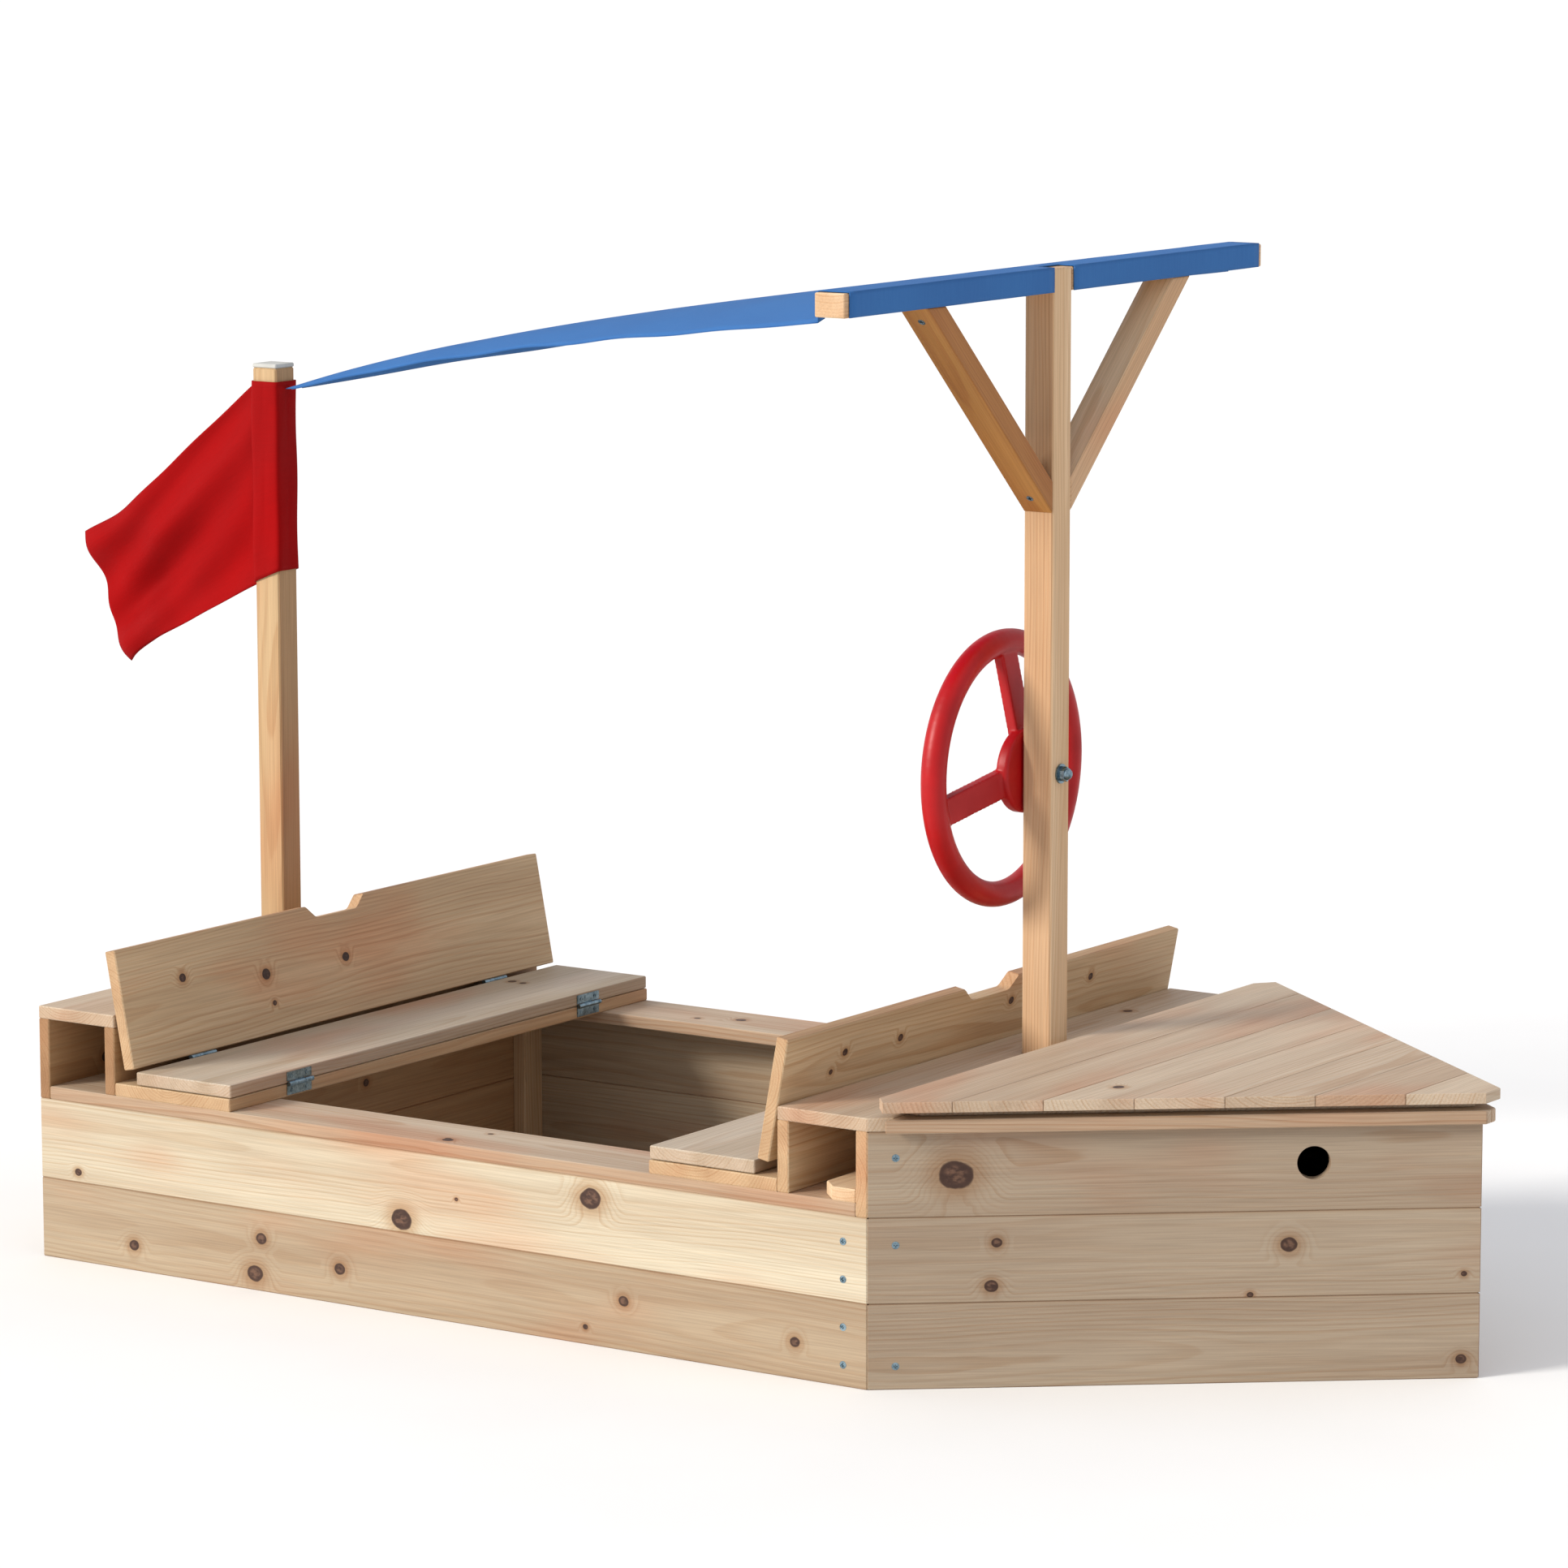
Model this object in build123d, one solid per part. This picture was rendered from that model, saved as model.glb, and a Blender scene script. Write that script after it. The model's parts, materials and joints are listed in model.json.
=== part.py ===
from build123d import *
import math
import os

# Boat-shaped sandbox: a plank hull open to the ground, two folding bench covers
# that close over the pit, a hinged bow lid, a mast with a play steering wheel and
# a roof beam, a triangular sun sail and a flag on a short pole.
# Sizes are in millimetres. +X points to the bow, +Y to port, +Z up.
# Everything is drawn with X = 0 at the stern and moved to the origin on export.

# ---- timber ----------------------------------------------------------------
plank_height = 95.0         # face width of a hull plank
board_thickness = 15.0      # every board of the hull and the benches
edge_ease = 1.2             # planed arris on the boards
post_size = 38.0            # square mast
post_ease = 2.0
pole_size = 36.0            # square flagpole
roof_timber_height = 26.0   # beam and braces are 38 x 26
post_batten = 18.0          # thickness of the inner corner posts
ground_clearance = 3.0      # inner posts stop short of the ground

# ---- hull ------------------------------------------------------------------
hull_length = 1163.0        # stern to the corner where the bow begins
hull_width = 830.0
bow_length = 525.0
stern_box_depth = 114.0
fore_box_depth = 117.0
ledge_width = 95.0
foot_plank_width = 52.0
foot_plank_corner = 22.0
fore_top_board_width = 140.0
rim_width = 80.0
rim_overhang = 14.0
rim_tip_reach = 10.0        # blunt tip of the rim, past the hull's tip
bow_hole_diameter = 37.0
bow_hole_from_corner = 485.0
bow_hole_rise = 53.0        # its middle above the top plank's lower edge

# ---- bench covers ----------------------------------------------------------
back_room = 31.0            # from a folded seat's rear edge to the box behind it
cover_middle_gap = 7.6      # between the two covers when both are unfolded
cover_side_gap = 2.0        # covers stop short of the hull's sides
cover_gap = 1.0             # air between the fixed board and the folded seat
ledge_gap = 0.5             # air under a closed cover
back_rest_gap = 0.7         # air between a leaning backrest and its box
notch_width = 114.0
notch_floor_width = 78.0
notch_depth = 15.5
notch_round = 12.0

# ---- bow lid ---------------------------------------------------------------
lid_setback = 6.0           # lid starts this far in front of the hull's corner
lid_plank_width = 77.0
lid_plank_thickness = 12.0
lid_batten_thickness = 9.0
lid_batten_width = 34.0
lid_batten_inset = 26.0
lid_overhang = 20.0
lid_tip_reach = 12.0
lid_rear_inset = 15.0       # lid's rear corners stop short of the hull's sides
lid_chamfer_x = 18.0
lid_seat_gap = 0.4
lid_plank_seam = 0.6
lid_plank_ease = 0.6

# ---- hinges ----------------------------------------------------------------
hinge_length = 45.0
hinge_knuckle_radius = 2.8
hinge_pin_radius = 1.4
hinge_running_gap = 0.08
hinge_segment_gap = 0.4
hinge_leaf_thickness = 1.2
hinge_leaf_inset = 1.5      # a leaf stops short of its board's far face
hinge_from_end = 128.0
lid_hinge_from_end = 150.0
hinge_screw_head_radius = 2.6
hinge_screw_head_height = 0.6
hinge_screw_spacing = 28.0

# ---- rig -------------------------------------------------------------------
beam_top_z = 1185.0
beam_length = 873.0
brace_foot_z = 914.0
brace_reach = 257.0         # from the mast's face to the brace's outer toe
brace_lap_gap = 0.2
post_slot_gap = 0.4         # play round a post where it passes through a board
pole_top_z = 1019.0
pole_foot_z = 100.0
cap_thickness = 5.0
canopy_thickness = 2.4
canopy_crown = 20.0
canopy_tip_z = 994.0
canopy_tip_width = 16.0
canopy_side_inset = 8.0
sleeve_wall = 1.2
sleeve_gap = 0.4
flag_hoist = 228.0
flag_top_z = 1004.0
flag_cloth = 2.4
flag_sleeve_gap = 0.5
flag_tail_reach = 297.0     # from the pole back to the flag's tail
flag_tail_drop = 206.0
flag_toe_reach = 216.0
flag_toe_drop = 126.0

# ---- steering wheel --------------------------------------------------------
wheel_axle_z = 620.0
wheel_rim_radius = 143.0
wheel_tube_radius = 14.5
wheel_dish = 36.0           # rim plane stands this far in front of the hub's back
wheel_hub_radius = 48.0
wheel_hub_thickness = 20.0
wheel_hub_round = 4.0
wheel_boss_radius = 20.0
wheel_boss_height = 5.0
wheel_spoke_width = 32.0
wheel_spoke_thickness = 9.0
wheel_spoke_root = 8.0      # a spoke starts this far inside the hub
wheel_spoke_inset = 2.0     # and this far behind the hub's front face
wheel_spoke_angles = (90.0, 195.0, 345.0)
bolt_radius = 5.0
bolt_running_gap = 0.08
bolt_head_radius = 10.0
bolt_head_height = 5.0
washer_radius = 11.0
washer_thickness = 2.0
washer_gap = 0.3
nut_radius = 8.5
nut_height = 7.0
nut_dome_share = 0.8        # dome radius as a share of the nut's
nut_dome_sink = 1.0
mast_bore_gap = 0.3

# ---- screws ----------------------------------------------------------------
screw_head_radius = 4.2
screw_shank_radius = 2.0
screw_length = 30.0
screw_head_depth = 3.0
screw_pilot_gap = 0.15
recess_width = 1.2          # slots of a cross recess
recess_share = 0.55         # length of a slot as a share of its head
screw_recess_depth = 1.6
hinge_recess_depth = 0.4
corner_screw_inset = 31.0
plank_screw_offsets = (24.0, 66.0)
bow_screw_rises = (26.0, 65.0, 66.0)    # one screw a bow plank, up from its lower edge
brace_screw_shares = (0.07, 0.93)   # places along a brace's lower face

# ---- derived levels and lines ----------------------------------------------
half_width = hull_width / 2
inner_half = half_width - board_thickness
cover_half = half_width - cover_side_gap
ledge_z = 2 * plank_height
ledge_top = ledge_z + board_thickness
bench_top = ledge_top + board_thickness
box_top_z = 3 * plank_height
deck_top = box_top_z + board_thickness
seat_low = bench_top + cover_gap
seat_high = seat_low + board_thickness
bow_hole_height = 2 * plank_height + bow_hole_rise
fore_box_x = hull_length - fore_box_depth
mast_front_x = hull_length - board_thickness
mast_mid_x = mast_front_x - post_size / 2
mast_rear_x = mast_front_x - post_size
pole_rear_x = board_thickness
pole_mid_x = pole_rear_x + pole_size / 2
bow_tip_x = hull_length + bow_length
bow_angle = math.degrees(math.atan2(half_width, bow_length))
bow_sine = math.sin(math.radians(bow_angle))
bow_cosine = math.cos(math.radians(bow_angle))
bow_slope = half_width / bow_length
lid_rear_x = hull_length + lid_setback
lid_rear_half_width = half_width - lid_rear_inset
lid_tip_x = bow_tip_x + lid_tip_reach
half_pole = pole_size / 2
half_post = post_size / 2
flag_tail_x = pole_rear_x - flag_sleeve_gap - flag_tail_reach
x_middle = (flag_tail_x + lid_tip_x) / 2
to_origin = Pos(-x_middle, 0, 0)

# each cover is two boards of one width, and four of them and their hinges fill the pit
box_to_box = fore_box_x - stern_box_depth
hinge_widths = 8 * hinge_knuckle_radius
cover_board_width = (box_to_box - 2 * back_room - hinge_widths - cover_middle_gap) / 6
fixed_board_width = cover_board_width + back_room
stern_pit_edge = stern_box_depth + fixed_board_width
bow_pit_edge = fore_box_x - fixed_board_width
hinge_leaf_height = board_thickness - hinge_leaf_inset

# hinge lines as (x, z)
seat_hinge_z = bench_top + cover_gap / 2 + ledge_gap / 2
stern_seat_axis = (stern_pit_edge + hinge_knuckle_radius, seat_hinge_z)
stern_back_axis = (stern_pit_edge - cover_board_width - hinge_knuckle_radius, seat_high)
bow_seat_axis = (bow_pit_edge - hinge_knuckle_radius, seat_hinge_z)
bow_back_axis = (bow_pit_edge + cover_board_width + hinge_knuckle_radius, seat_high)
lid_axis = (lid_rear_x - hinge_knuckle_radius, deck_top + hinge_knuckle_radius)

# a backrest leans until it nearly touches the top edge of the box behind it
lean_reach = stern_back_axis[0] - stern_box_depth
lean_rise = deck_top - seat_high
lean_radius = math.hypot(lean_reach, lean_rise)
lean_share = (board_thickness + back_rest_gap) / lean_radius
back_lean = math.degrees(math.acos(lean_share) - math.atan2(lean_rise, lean_reach))
back_swing = 90.0 - back_lean

nodes = {}


def add(name, *solids):
    """Keep one named piece, or a group of identical pieces."""
    nodes[name] = solids[0] if len(solids) == 1 else Compound(list(solids))


def block(x0, x1, y0, y1, z0, z1):
    """A plain box between six planes."""
    size = (x1 - x0, y1 - y0, z1 - z0)
    middle = ((x0 + x1) / 2, (y0 + y1) / 2, (z0 + z1) / 2)
    return Pos(*middle) * Box(*size)


def board(x0, x1, y0, y1, z0, z1, ease=edge_ease):
    """A planed board: a box with every arris eased."""
    piece = block(x0, x1, y0, y1, z0, z1)
    return chamfer(piece.edges(), ease)


def slab(points, z0, z1, ease=edge_ease):
    """A board of any plan outline, with eased arrises."""
    outline = make_face(Polyline(*points, close=True))
    piece = Pos(0, 0, z0) * extrude(outline, z1 - z0)
    return chamfer(piece.edges(), ease) if ease else piece


def mirrored(piece):
    """The same piece on the other side of the boat's centreline."""
    return mirror(piece, Plane.XZ)


def bow_half_width(x, overhang=0.0):
    """Half width of the bow at x, measured to a line this far outside its sides."""
    return half_width - (x - hull_length) * bow_slope + overhang / bow_cosine


def on_bow_side(distance, height):
    """Frame on the starboard bow side, z pointing out of the boat."""
    x = hull_length + distance * bow_cosine
    y = -half_width + distance * bow_sine
    outward = (bow_sine, -bow_cosine, 0)
    return Plane(origin=(x, y, height), x_dir=(bow_cosine, bow_sine, 0), z_dir=outward)


# ---- screws ----------------------------------------------------------------
def cross_recess(head_radius, depth):
    """The cross that a driver fits, sunk from z = 0."""
    half_slot = head_radius * recess_share
    half_width_of_slot = recess_width / 2
    slot = block(-half_slot, half_slot, -half_width_of_slot, half_width_of_slot, -depth, depth)
    return slot + Rot(0, 0, 90) * slot


def screw_at(place, length=screw_length, gap=0.0):
    """A countersunk wood screw whose head is flush with the face at place.

    With a gap it is the pilot hole for that screw.
    """
    shank_length = length - screw_head_depth
    shank = Pos(0, 0, -screw_head_depth - shank_length / 2)
    shank = shank * Cylinder(screw_shank_radius + gap, shank_length + 2 * gap)
    head = Pos(0, 0, -screw_head_depth / 2)
    head = head * Cone(screw_shank_radius + gap, screw_head_radius + gap, screw_head_depth)
    screw = head + shank
    if gap == 0:
        screw = screw - cross_recess(screw_head_radius, screw_recess_depth)
    return place * screw


side_screw_x = hull_length - corner_screw_inset
screw_places = []
for level in range(2):
    for offset in plank_screw_offsets:
        place = Plane(origin=(side_screw_x, -half_width, level * plank_height + offset), z_dir=(0, -1, 0))
        screw_places.append(place)
for level, rise in enumerate(bow_screw_rises):
    screw_places.append(on_bow_side(corner_screw_inset, level * plank_height + rise))
starboard_screws = [screw_at(place) for place in screw_places]
starboard_pilots = [screw_at(place, gap=screw_pilot_gap) for place in screw_places]
port_screws = [mirrored(screw) for screw in starboard_screws]
hull_pilots = starboard_pilots + [mirrored(pilot) for pilot in starboard_pilots]
add("hull_screws", *starboard_screws, *port_screws)


def drilled(piece, pilots):
    """The piece with clearance holes for the screws that reach it."""
    reach = piece.bounding_box()
    for pilot in pilots:
        box = pilot.bounding_box()
        apart = box.min.X > reach.max.X or box.max.X < reach.min.X
        apart = apart or box.min.Y > reach.max.Y or box.max.Y < reach.min.Y
        apart = apart or box.min.Z > reach.max.Z or box.max.Z < reach.min.Z
        if not apart:
            piece = piece - pilot
    return piece


# ---- hull planks -----------------------------------------------------------
plank_names = ("lower", "upper", "top")
for level in range(2):
    z0 = level * plank_height
    z1 = z0 + plank_height
    side = board(0, hull_length, -half_width, -inner_half, z0, z1)
    side = drilled(side, hull_pilots)
    add(f"side_plank_starboard_{plank_names[level]}", side)
    add(f"side_plank_port_{plank_names[level]}", mirrored(side))
    add(f"stern_plank_{plank_names[level]}",
        board(0, board_thickness, -inner_half, inner_half, z0, z1))
    add(f"pit_stern_wall_{plank_names[level]}",
        board(stern_box_depth - board_thickness, stern_box_depth, -inner_half, inner_half, z0, z1))
    add(f"bulkhead_plank_{plank_names[level]}",
        board(mast_front_x, hull_length, -inner_half, inner_half, z0, z1))

# the bow's sides are mitred against the bulkhead and against each other at the tip
inner_start_y = -half_width + board_thickness / bow_cosine
inner_tip_x = bow_tip_x - board_thickness / bow_sine
bow_plan = [
    (hull_length, -half_width),
    (bow_tip_x, 0),
    (inner_tip_x, 0),
    (hull_length, inner_start_y),
]
for level in range(3):
    plank = slab(bow_plan, level * plank_height, (level + 1) * plank_height)
    plank = drilled(plank, hull_pilots)
    port_plank = mirrored(plank)
    if level == 2:
        hole = on_bow_side(bow_hole_from_corner, bow_hole_height)
        plank = plank - hole * Cylinder(bow_hole_diameter / 2, 3 * board_thickness)
    add(f"bow_plank_starboard_{plank_names[level]}", plank)
    add(f"bow_plank_port_{plank_names[level]}", port_plank)

# inner posts that the planks are screwed to
post_top = ledge_z


def hull_post(x0):
    """A corner post against the starboard side, flat to the cross wall at x0."""
    return board(x0, x0 + post_size, -inner_half, -inner_half + post_batten, ground_clearance, post_top)


starboard_posts = [
    hull_post(board_thickness),
    board(stern_box_depth, stern_box_depth + post_batten, -inner_half, -inner_half + post_size,
          ground_clearance, post_top),
    drilled(hull_post(mast_front_x - post_size), hull_pilots),
]
add("hull_corner_posts", *starboard_posts, *[mirrored(post) for post in starboard_posts])

bow_post_end = hull_length + post_size
bow_post_plan = [
    (hull_length, inner_start_y),
    (bow_post_end, inner_start_y + post_size * bow_slope),
    (bow_post_end, inner_start_y + post_size * bow_slope + post_batten),
    (hull_length, inner_start_y + post_size * bow_slope + post_batten),
]
bow_post = drilled(slab(bow_post_plan, ground_clearance, box_top_z), hull_pilots)
add("bow_corner_posts", bow_post, mirrored(bow_post))

tip_post_rear = inner_tip_x - post_size
tip_half = post_size * bow_slope
tip_post_plan = [(tip_post_rear, -tip_half), (inner_tip_x, 0), (tip_post_rear, tip_half)]
add("bow_tip_post", slab(tip_post_plan, ground_clearance, box_top_z))

# ---- ledges and boxes ------------------------------------------------------
ledge = board(board_thickness, mast_front_x, -half_width, -half_width + ledge_width, ledge_z, ledge_top)
add("ledge_starboard", ledge)
add("ledge_port", mirrored(ledge))

add("stern_box_rear_board",
    board(0, board_thickness, -half_width, half_width, ledge_z, box_top_z))
add("stern_box_inner_board",
    board(stern_box_depth - board_thickness, stern_box_depth, -half_width, half_width,
          ledge_top, box_top_z))
pole_slot = block(pole_rear_x - post_slot_gap, pole_rear_x + pole_size + post_slot_gap,
                  -half_pole - post_slot_gap, half_pole + post_slot_gap, 0, deck_top + 1)
stern_top = board(0, stern_box_depth, -half_width, half_width, box_top_z, deck_top)
add("stern_box_top_board", stern_top - pole_slot)

add("bulkhead_top_board",
    board(mast_front_x, hull_length, -half_width, half_width, ledge_z, box_top_z))
add("fore_box_inner_board",
    board(fore_box_x, fore_box_x + board_thickness, -half_width, half_width, ledge_top, box_top_z))
fore_top_x = fore_box_x + fore_top_board_width
fore_top_plan = [
    (fore_box_x, -half_width),
    (hull_length, -half_width),
    (fore_top_x, -bow_half_width(fore_top_x)),
    (fore_top_x, bow_half_width(fore_top_x)),
    (hull_length, half_width),
    (fore_box_x, half_width),
]
mast_slot = block(mast_rear_x - post_slot_gap, mast_front_x + post_slot_gap,
                  -half_post - post_slot_gap, half_post + post_slot_gap, 0, deck_top + 1)
add("fore_box_top_board", slab(fore_top_plan, box_top_z, deck_top) - mast_slot)

foot_x = mast_front_x - foot_plank_width
foot_plan = [
    (foot_x, -half_width + foot_plank_corner),
    (foot_x + foot_plank_corner, -half_width),
    (mast_front_x, -half_width),
    (mast_front_x, half_width),
    (foot_x + foot_plank_corner, half_width),
    (foot_x, half_width - foot_plank_corner),
]
add("mast_foot_plank", slab(foot_plan, ledge_top, bench_top))

add("stern_bench_fixed_board",
    board(stern_box_depth, stern_pit_edge, -half_width, half_width, ledge_top, bench_top))
add("bow_bench_fixed_board",
    board(bow_pit_edge, fore_box_x, -half_width, half_width, ledge_top, bench_top))

# ---- bow rim ---------------------------------------------------------------
rim_tip_x = bow_tip_x + rim_tip_reach
rim_inner_tip = bow_tip_x + (rim_overhang - rim_width) / bow_sine
rim_plan = [
    (fore_top_x, -bow_half_width(fore_top_x, rim_overhang)),
    (rim_tip_x, -bow_half_width(rim_tip_x, rim_overhang)),
    (rim_tip_x, 0),
    (rim_inner_tip, 0),
    (fore_top_x, -bow_half_width(fore_top_x, rim_overhang - rim_width)),
]
rim = slab(rim_plan, box_top_z, deck_top)
add("rim_board_starboard", rim)
add("rim_board_port", mirrored(rim))

# ---- bow lid ---------------------------------------------------------------
lid_low = deck_top + lid_seat_gap
lid_plank_low = deck_top + lid_batten_thickness
lid_top = lid_plank_low + lid_plank_thickness
lid_chamfer_end = lid_rear_x + lid_chamfer_x
lid_plan = [
    (lid_rear_x, -lid_rear_half_width),
    (lid_chamfer_end, -bow_half_width(lid_chamfer_end, lid_overhang)),
    (lid_tip_x, -bow_half_width(lid_tip_x, lid_overhang)),
    (lid_tip_x, bow_half_width(lid_tip_x, lid_overhang)),
    (lid_chamfer_end, bow_half_width(lid_chamfer_end, lid_overhang)),
    (lid_rear_x, lid_rear_half_width),
]
lid_outline = slab(lid_plan, lid_plank_low, lid_top, ease=0)
lid_planks = []
plank_x = lid_rear_x
while plank_x < lid_tip_x - lid_plank_width / 4:
    next_x = min(plank_x + lid_plank_width, lid_tip_x)
    front_x = next_x - lid_plank_seam if next_x < lid_tip_x else next_x
    strip = block(plank_x, front_x, -hull_width, hull_width, lid_plank_low, lid_top)
    plank = lid_outline & strip
    lid_planks.append(chamfer(plank.edges(), lid_plank_ease))
    plank_x = next_x
add("lid_planks", *lid_planks)

side_batten_rear = lid_rear_x + lid_batten_width
batten_out = lid_overhang - lid_batten_inset
batten_in = batten_out - lid_batten_width
side_batten_plan = [
    (side_batten_rear, -bow_half_width(side_batten_rear, batten_out)),
    (bow_tip_x + batten_out / bow_sine, 0),
    (bow_tip_x + batten_in / bow_sine, 0),
    (side_batten_rear, -bow_half_width(side_batten_rear, batten_in)),
]
side_batten = slab(side_batten_plan, lid_low, lid_plank_low)
rear_batten_half = bow_half_width(side_batten_rear, batten_out)
rear_batten = board(lid_rear_x, side_batten_rear, -rear_batten_half, rear_batten_half,
                    lid_low, lid_plank_low)
add("lid_battens", rear_batten, side_batten, mirrored(side_batten))


# ---- hinges ----------------------------------------------------------------
def hinge_side(outer, with_pin):
    """Half a butt hinge lying along Y, its knuckle on the Y axis.

    The leaf stands up from the knuckle, flat to the plane x = -knuckle radius.
    The outer half has the two end knuckles, the other half the middle one.
    """
    segment = hinge_length / 3
    centres = (-segment, segment) if outer else (0.0,)
    half_segment = segment / 2 - hinge_segment_gap / 2
    leaf_start = hinge_knuckle_radius + hinge_segment_gap
    leaf = block(-hinge_knuckle_radius, -hinge_knuckle_radius + hinge_leaf_thickness,
                 -hinge_length / 2, hinge_length / 2, leaf_start, hinge_leaf_height)
    for centre in centres:
        tube = Pos(0, centre, 0) * Rot(90, 0, 0) * Cylinder(hinge_knuckle_radius, 2 * half_segment)
        tongue = block(-hinge_knuckle_radius, -hinge_knuckle_radius + hinge_leaf_thickness,
                       centre - half_segment, centre + half_segment, 0, leaf_start + 1)
        leaf = leaf + tube + tongue
    bore_radius = hinge_pin_radius + hinge_running_gap
    leaf = leaf - Rot(90, 0, 0) * Cylinder(bore_radius, 2 * hinge_length)
    pieces = [leaf]
    head_z = (leaf_start + hinge_leaf_height) / 2
    head_x = -hinge_knuckle_radius + hinge_leaf_thickness + hinge_screw_head_height / 2
    head = Cylinder(hinge_screw_head_radius, hinge_screw_head_height)
    recess = cross_recess(hinge_screw_head_radius, hinge_recess_depth)
    head = head - Pos(0, 0, hinge_screw_head_height / 2) * recess
    for side in (-1, 1):
        pieces.append(Pos(head_x, side * hinge_screw_spacing / 2, head_z) * Rot(0, 90, 0) * head)
    if with_pin:
        pieces.append(Rot(90, 0, 0) * Cylinder(hinge_pin_radius, hinge_length))
    return pieces


def hinge_pair(axis, turn, outer, from_end=hinge_from_end):
    """Two hinge halves on one hinge line, turned about Y by the given angle."""
    x, z = axis
    placed = []
    for side in (-1, 1):
        place = Pos(x, side * (half_width - from_end), z) * Rot(0, turn, 0)
        placed += [place * piece for piece in hinge_side(outer, with_pin=outer)]
    return placed


# a leaf turned by 0 stands up behind its knuckle, turned by 180 it hangs in front of it
stern_fixed_leaves = [mirror(piece, Plane.XY.offset(stern_seat_axis[1]))
                      for piece in hinge_pair(stern_seat_axis, 0, True)]
bow_fixed_leaves = hinge_pair(bow_seat_axis, 180, True)
lid_fixed_leaves = hinge_pair(lid_axis, -90, True, lid_hinge_from_end)
add("hull_hinge_halves", *stern_fixed_leaves, *bow_fixed_leaves, *lid_fixed_leaves)

stern_seat_front = hinge_pair(stern_seat_axis, 0, False)
stern_seat_rear = hinge_pair(stern_back_axis, 180, True)
add("stern_seat_hinge_halves", *stern_seat_front, *stern_seat_rear)

bow_seat_front = [mirror(piece, Plane.YZ.offset(bow_seat_axis[0]))
                  for piece in hinge_pair(bow_seat_axis, 0, False)]
bow_seat_rear = [mirror(piece, Plane.XY.offset(bow_back_axis[1]))
                 for piece in hinge_pair(bow_back_axis, 0, True)]
add("bow_seat_hinge_halves", *bow_seat_front, *bow_seat_rear)

lid_moving_leaves = [mirror(piece, Plane.YZ.offset(lid_axis[0]))
                     for piece in hinge_pair(lid_axis, 0, False, lid_hinge_from_end)]
add("lid_hinge_halves", *lid_moving_leaves)


# ---- bench covers ----------------------------------------------------------
def notched_back(axis):
    """The backrest lying flat behind its hinge line, front face up, with its leaves."""
    x, z = axis
    front = x - hinge_knuckle_radius
    rear = front - cover_board_width
    floor_x = rear + notch_depth
    notch_points = [
        (rear - notch_round, -notch_width / 2),
        (rear, -notch_width / 2),
        (floor_x, -notch_floor_width / 2),
        (floor_x, notch_floor_width / 2),
        (rear, notch_width / 2),
        (rear - notch_round, notch_width / 2),
    ]
    notch = Pos(0, 0, z - 2 * board_thickness)
    notch = notch * extrude(make_face(Polyline(*notch_points, close=True)), 4 * board_thickness)
    upright = [edge for edge in notch.edges().filter_by(Axis.Z) if edge.center().X > floor_x - 0.1]
    notch = fillet(upright, notch_round)
    piece = board(rear, front, -cover_half, cover_half, z - board_thickness, z) - notch
    leaves = []
    for side in (-1, 1):
        place = Pos(x, side * (half_width - hinge_from_end), z) * Rot(0, 180, 0)
        leaves += [mirror(place * leaf, Plane.YZ.offset(x)) for leaf in hinge_side(False, False)]
    return piece, leaves


def turned(piece, axis, angle):
    """The piece turned about a line along Y through axis = (x, z)."""
    x, z = axis
    return Pos(x, 0, z) * Rot(0, angle, 0) * Pos(-x, 0, -z) * piece


add("stern_seat_board",
    board(stern_pit_edge - cover_board_width, stern_pit_edge, -cover_half, cover_half, seat_low, seat_high))
add("bow_seat_board",
    board(bow_pit_edge, bow_pit_edge + cover_board_width, -cover_half, cover_half, seat_low, seat_high))

flat_back, flat_leaves = notched_back(stern_back_axis)
stern_back = turned(flat_back, stern_back_axis, back_swing)
stern_back_leaves = [turned(leaf, stern_back_axis, back_swing) for leaf in flat_leaves]
middle_plane = Plane.YZ.offset((stern_back_axis[0] + bow_back_axis[0]) / 2)
add("stern_back_board", stern_back)
add("stern_back_hinge_halves", *stern_back_leaves)
add("bow_back_board", mirror(stern_back, middle_plane))
add("bow_back_hinge_halves", *[mirror(leaf, middle_plane) for leaf in stern_back_leaves])

# ---- mast, roof beam and braces --------------------------------------------
beam_low_z = beam_top_z - roof_timber_height
beam_half = beam_length / 2
mast = board(mast_rear_x, mast_front_x, -half_post, half_post, bench_top, beam_top_z, post_ease)
lap_cut = block(mast_rear_x - 1, mast_mid_x, -post_size, post_size, beam_low_z, beam_top_z + 1)
axle_bore = Pos(mast_mid_x, 0, wheel_axle_z) * Rot(0, 90, 0)
axle_bore = axle_bore * Cylinder(bolt_radius + mast_bore_gap, 2 * post_size)
mast = mast - lap_cut - axle_bore

beam = board(mast_rear_x, mast_front_x, -beam_half, beam_half, beam_low_z, beam_top_z)
beam_notch = block(mast_mid_x, mast_front_x + 1, -half_post - brace_lap_gap, half_post + brace_lap_gap,
                   beam_low_z - 1, beam_top_z + 1)
beam = beam - beam_notch

brace_rise = beam_low_z - brace_foot_z
brace_tilt = math.atan2(brace_rise, brace_reach)
toe_y = half_post + brace_reach
brace_points = [
    (half_post, brace_foot_z),
    (toe_y, beam_low_z),
    (toe_y - roof_timber_height / math.sin(brace_tilt), beam_low_z),
    (half_post, brace_foot_z + roof_timber_height / math.cos(brace_tilt)),
]
brace_face = Plane(origin=(mast_rear_x, 0, 0), x_dir=(0, 1, 0), z_dir=(1, 0, 0))
brace = extrude(brace_face * make_face(Polyline(*brace_points, close=True)), post_size)
brace = chamfer(brace.edges(), edge_ease)

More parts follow.
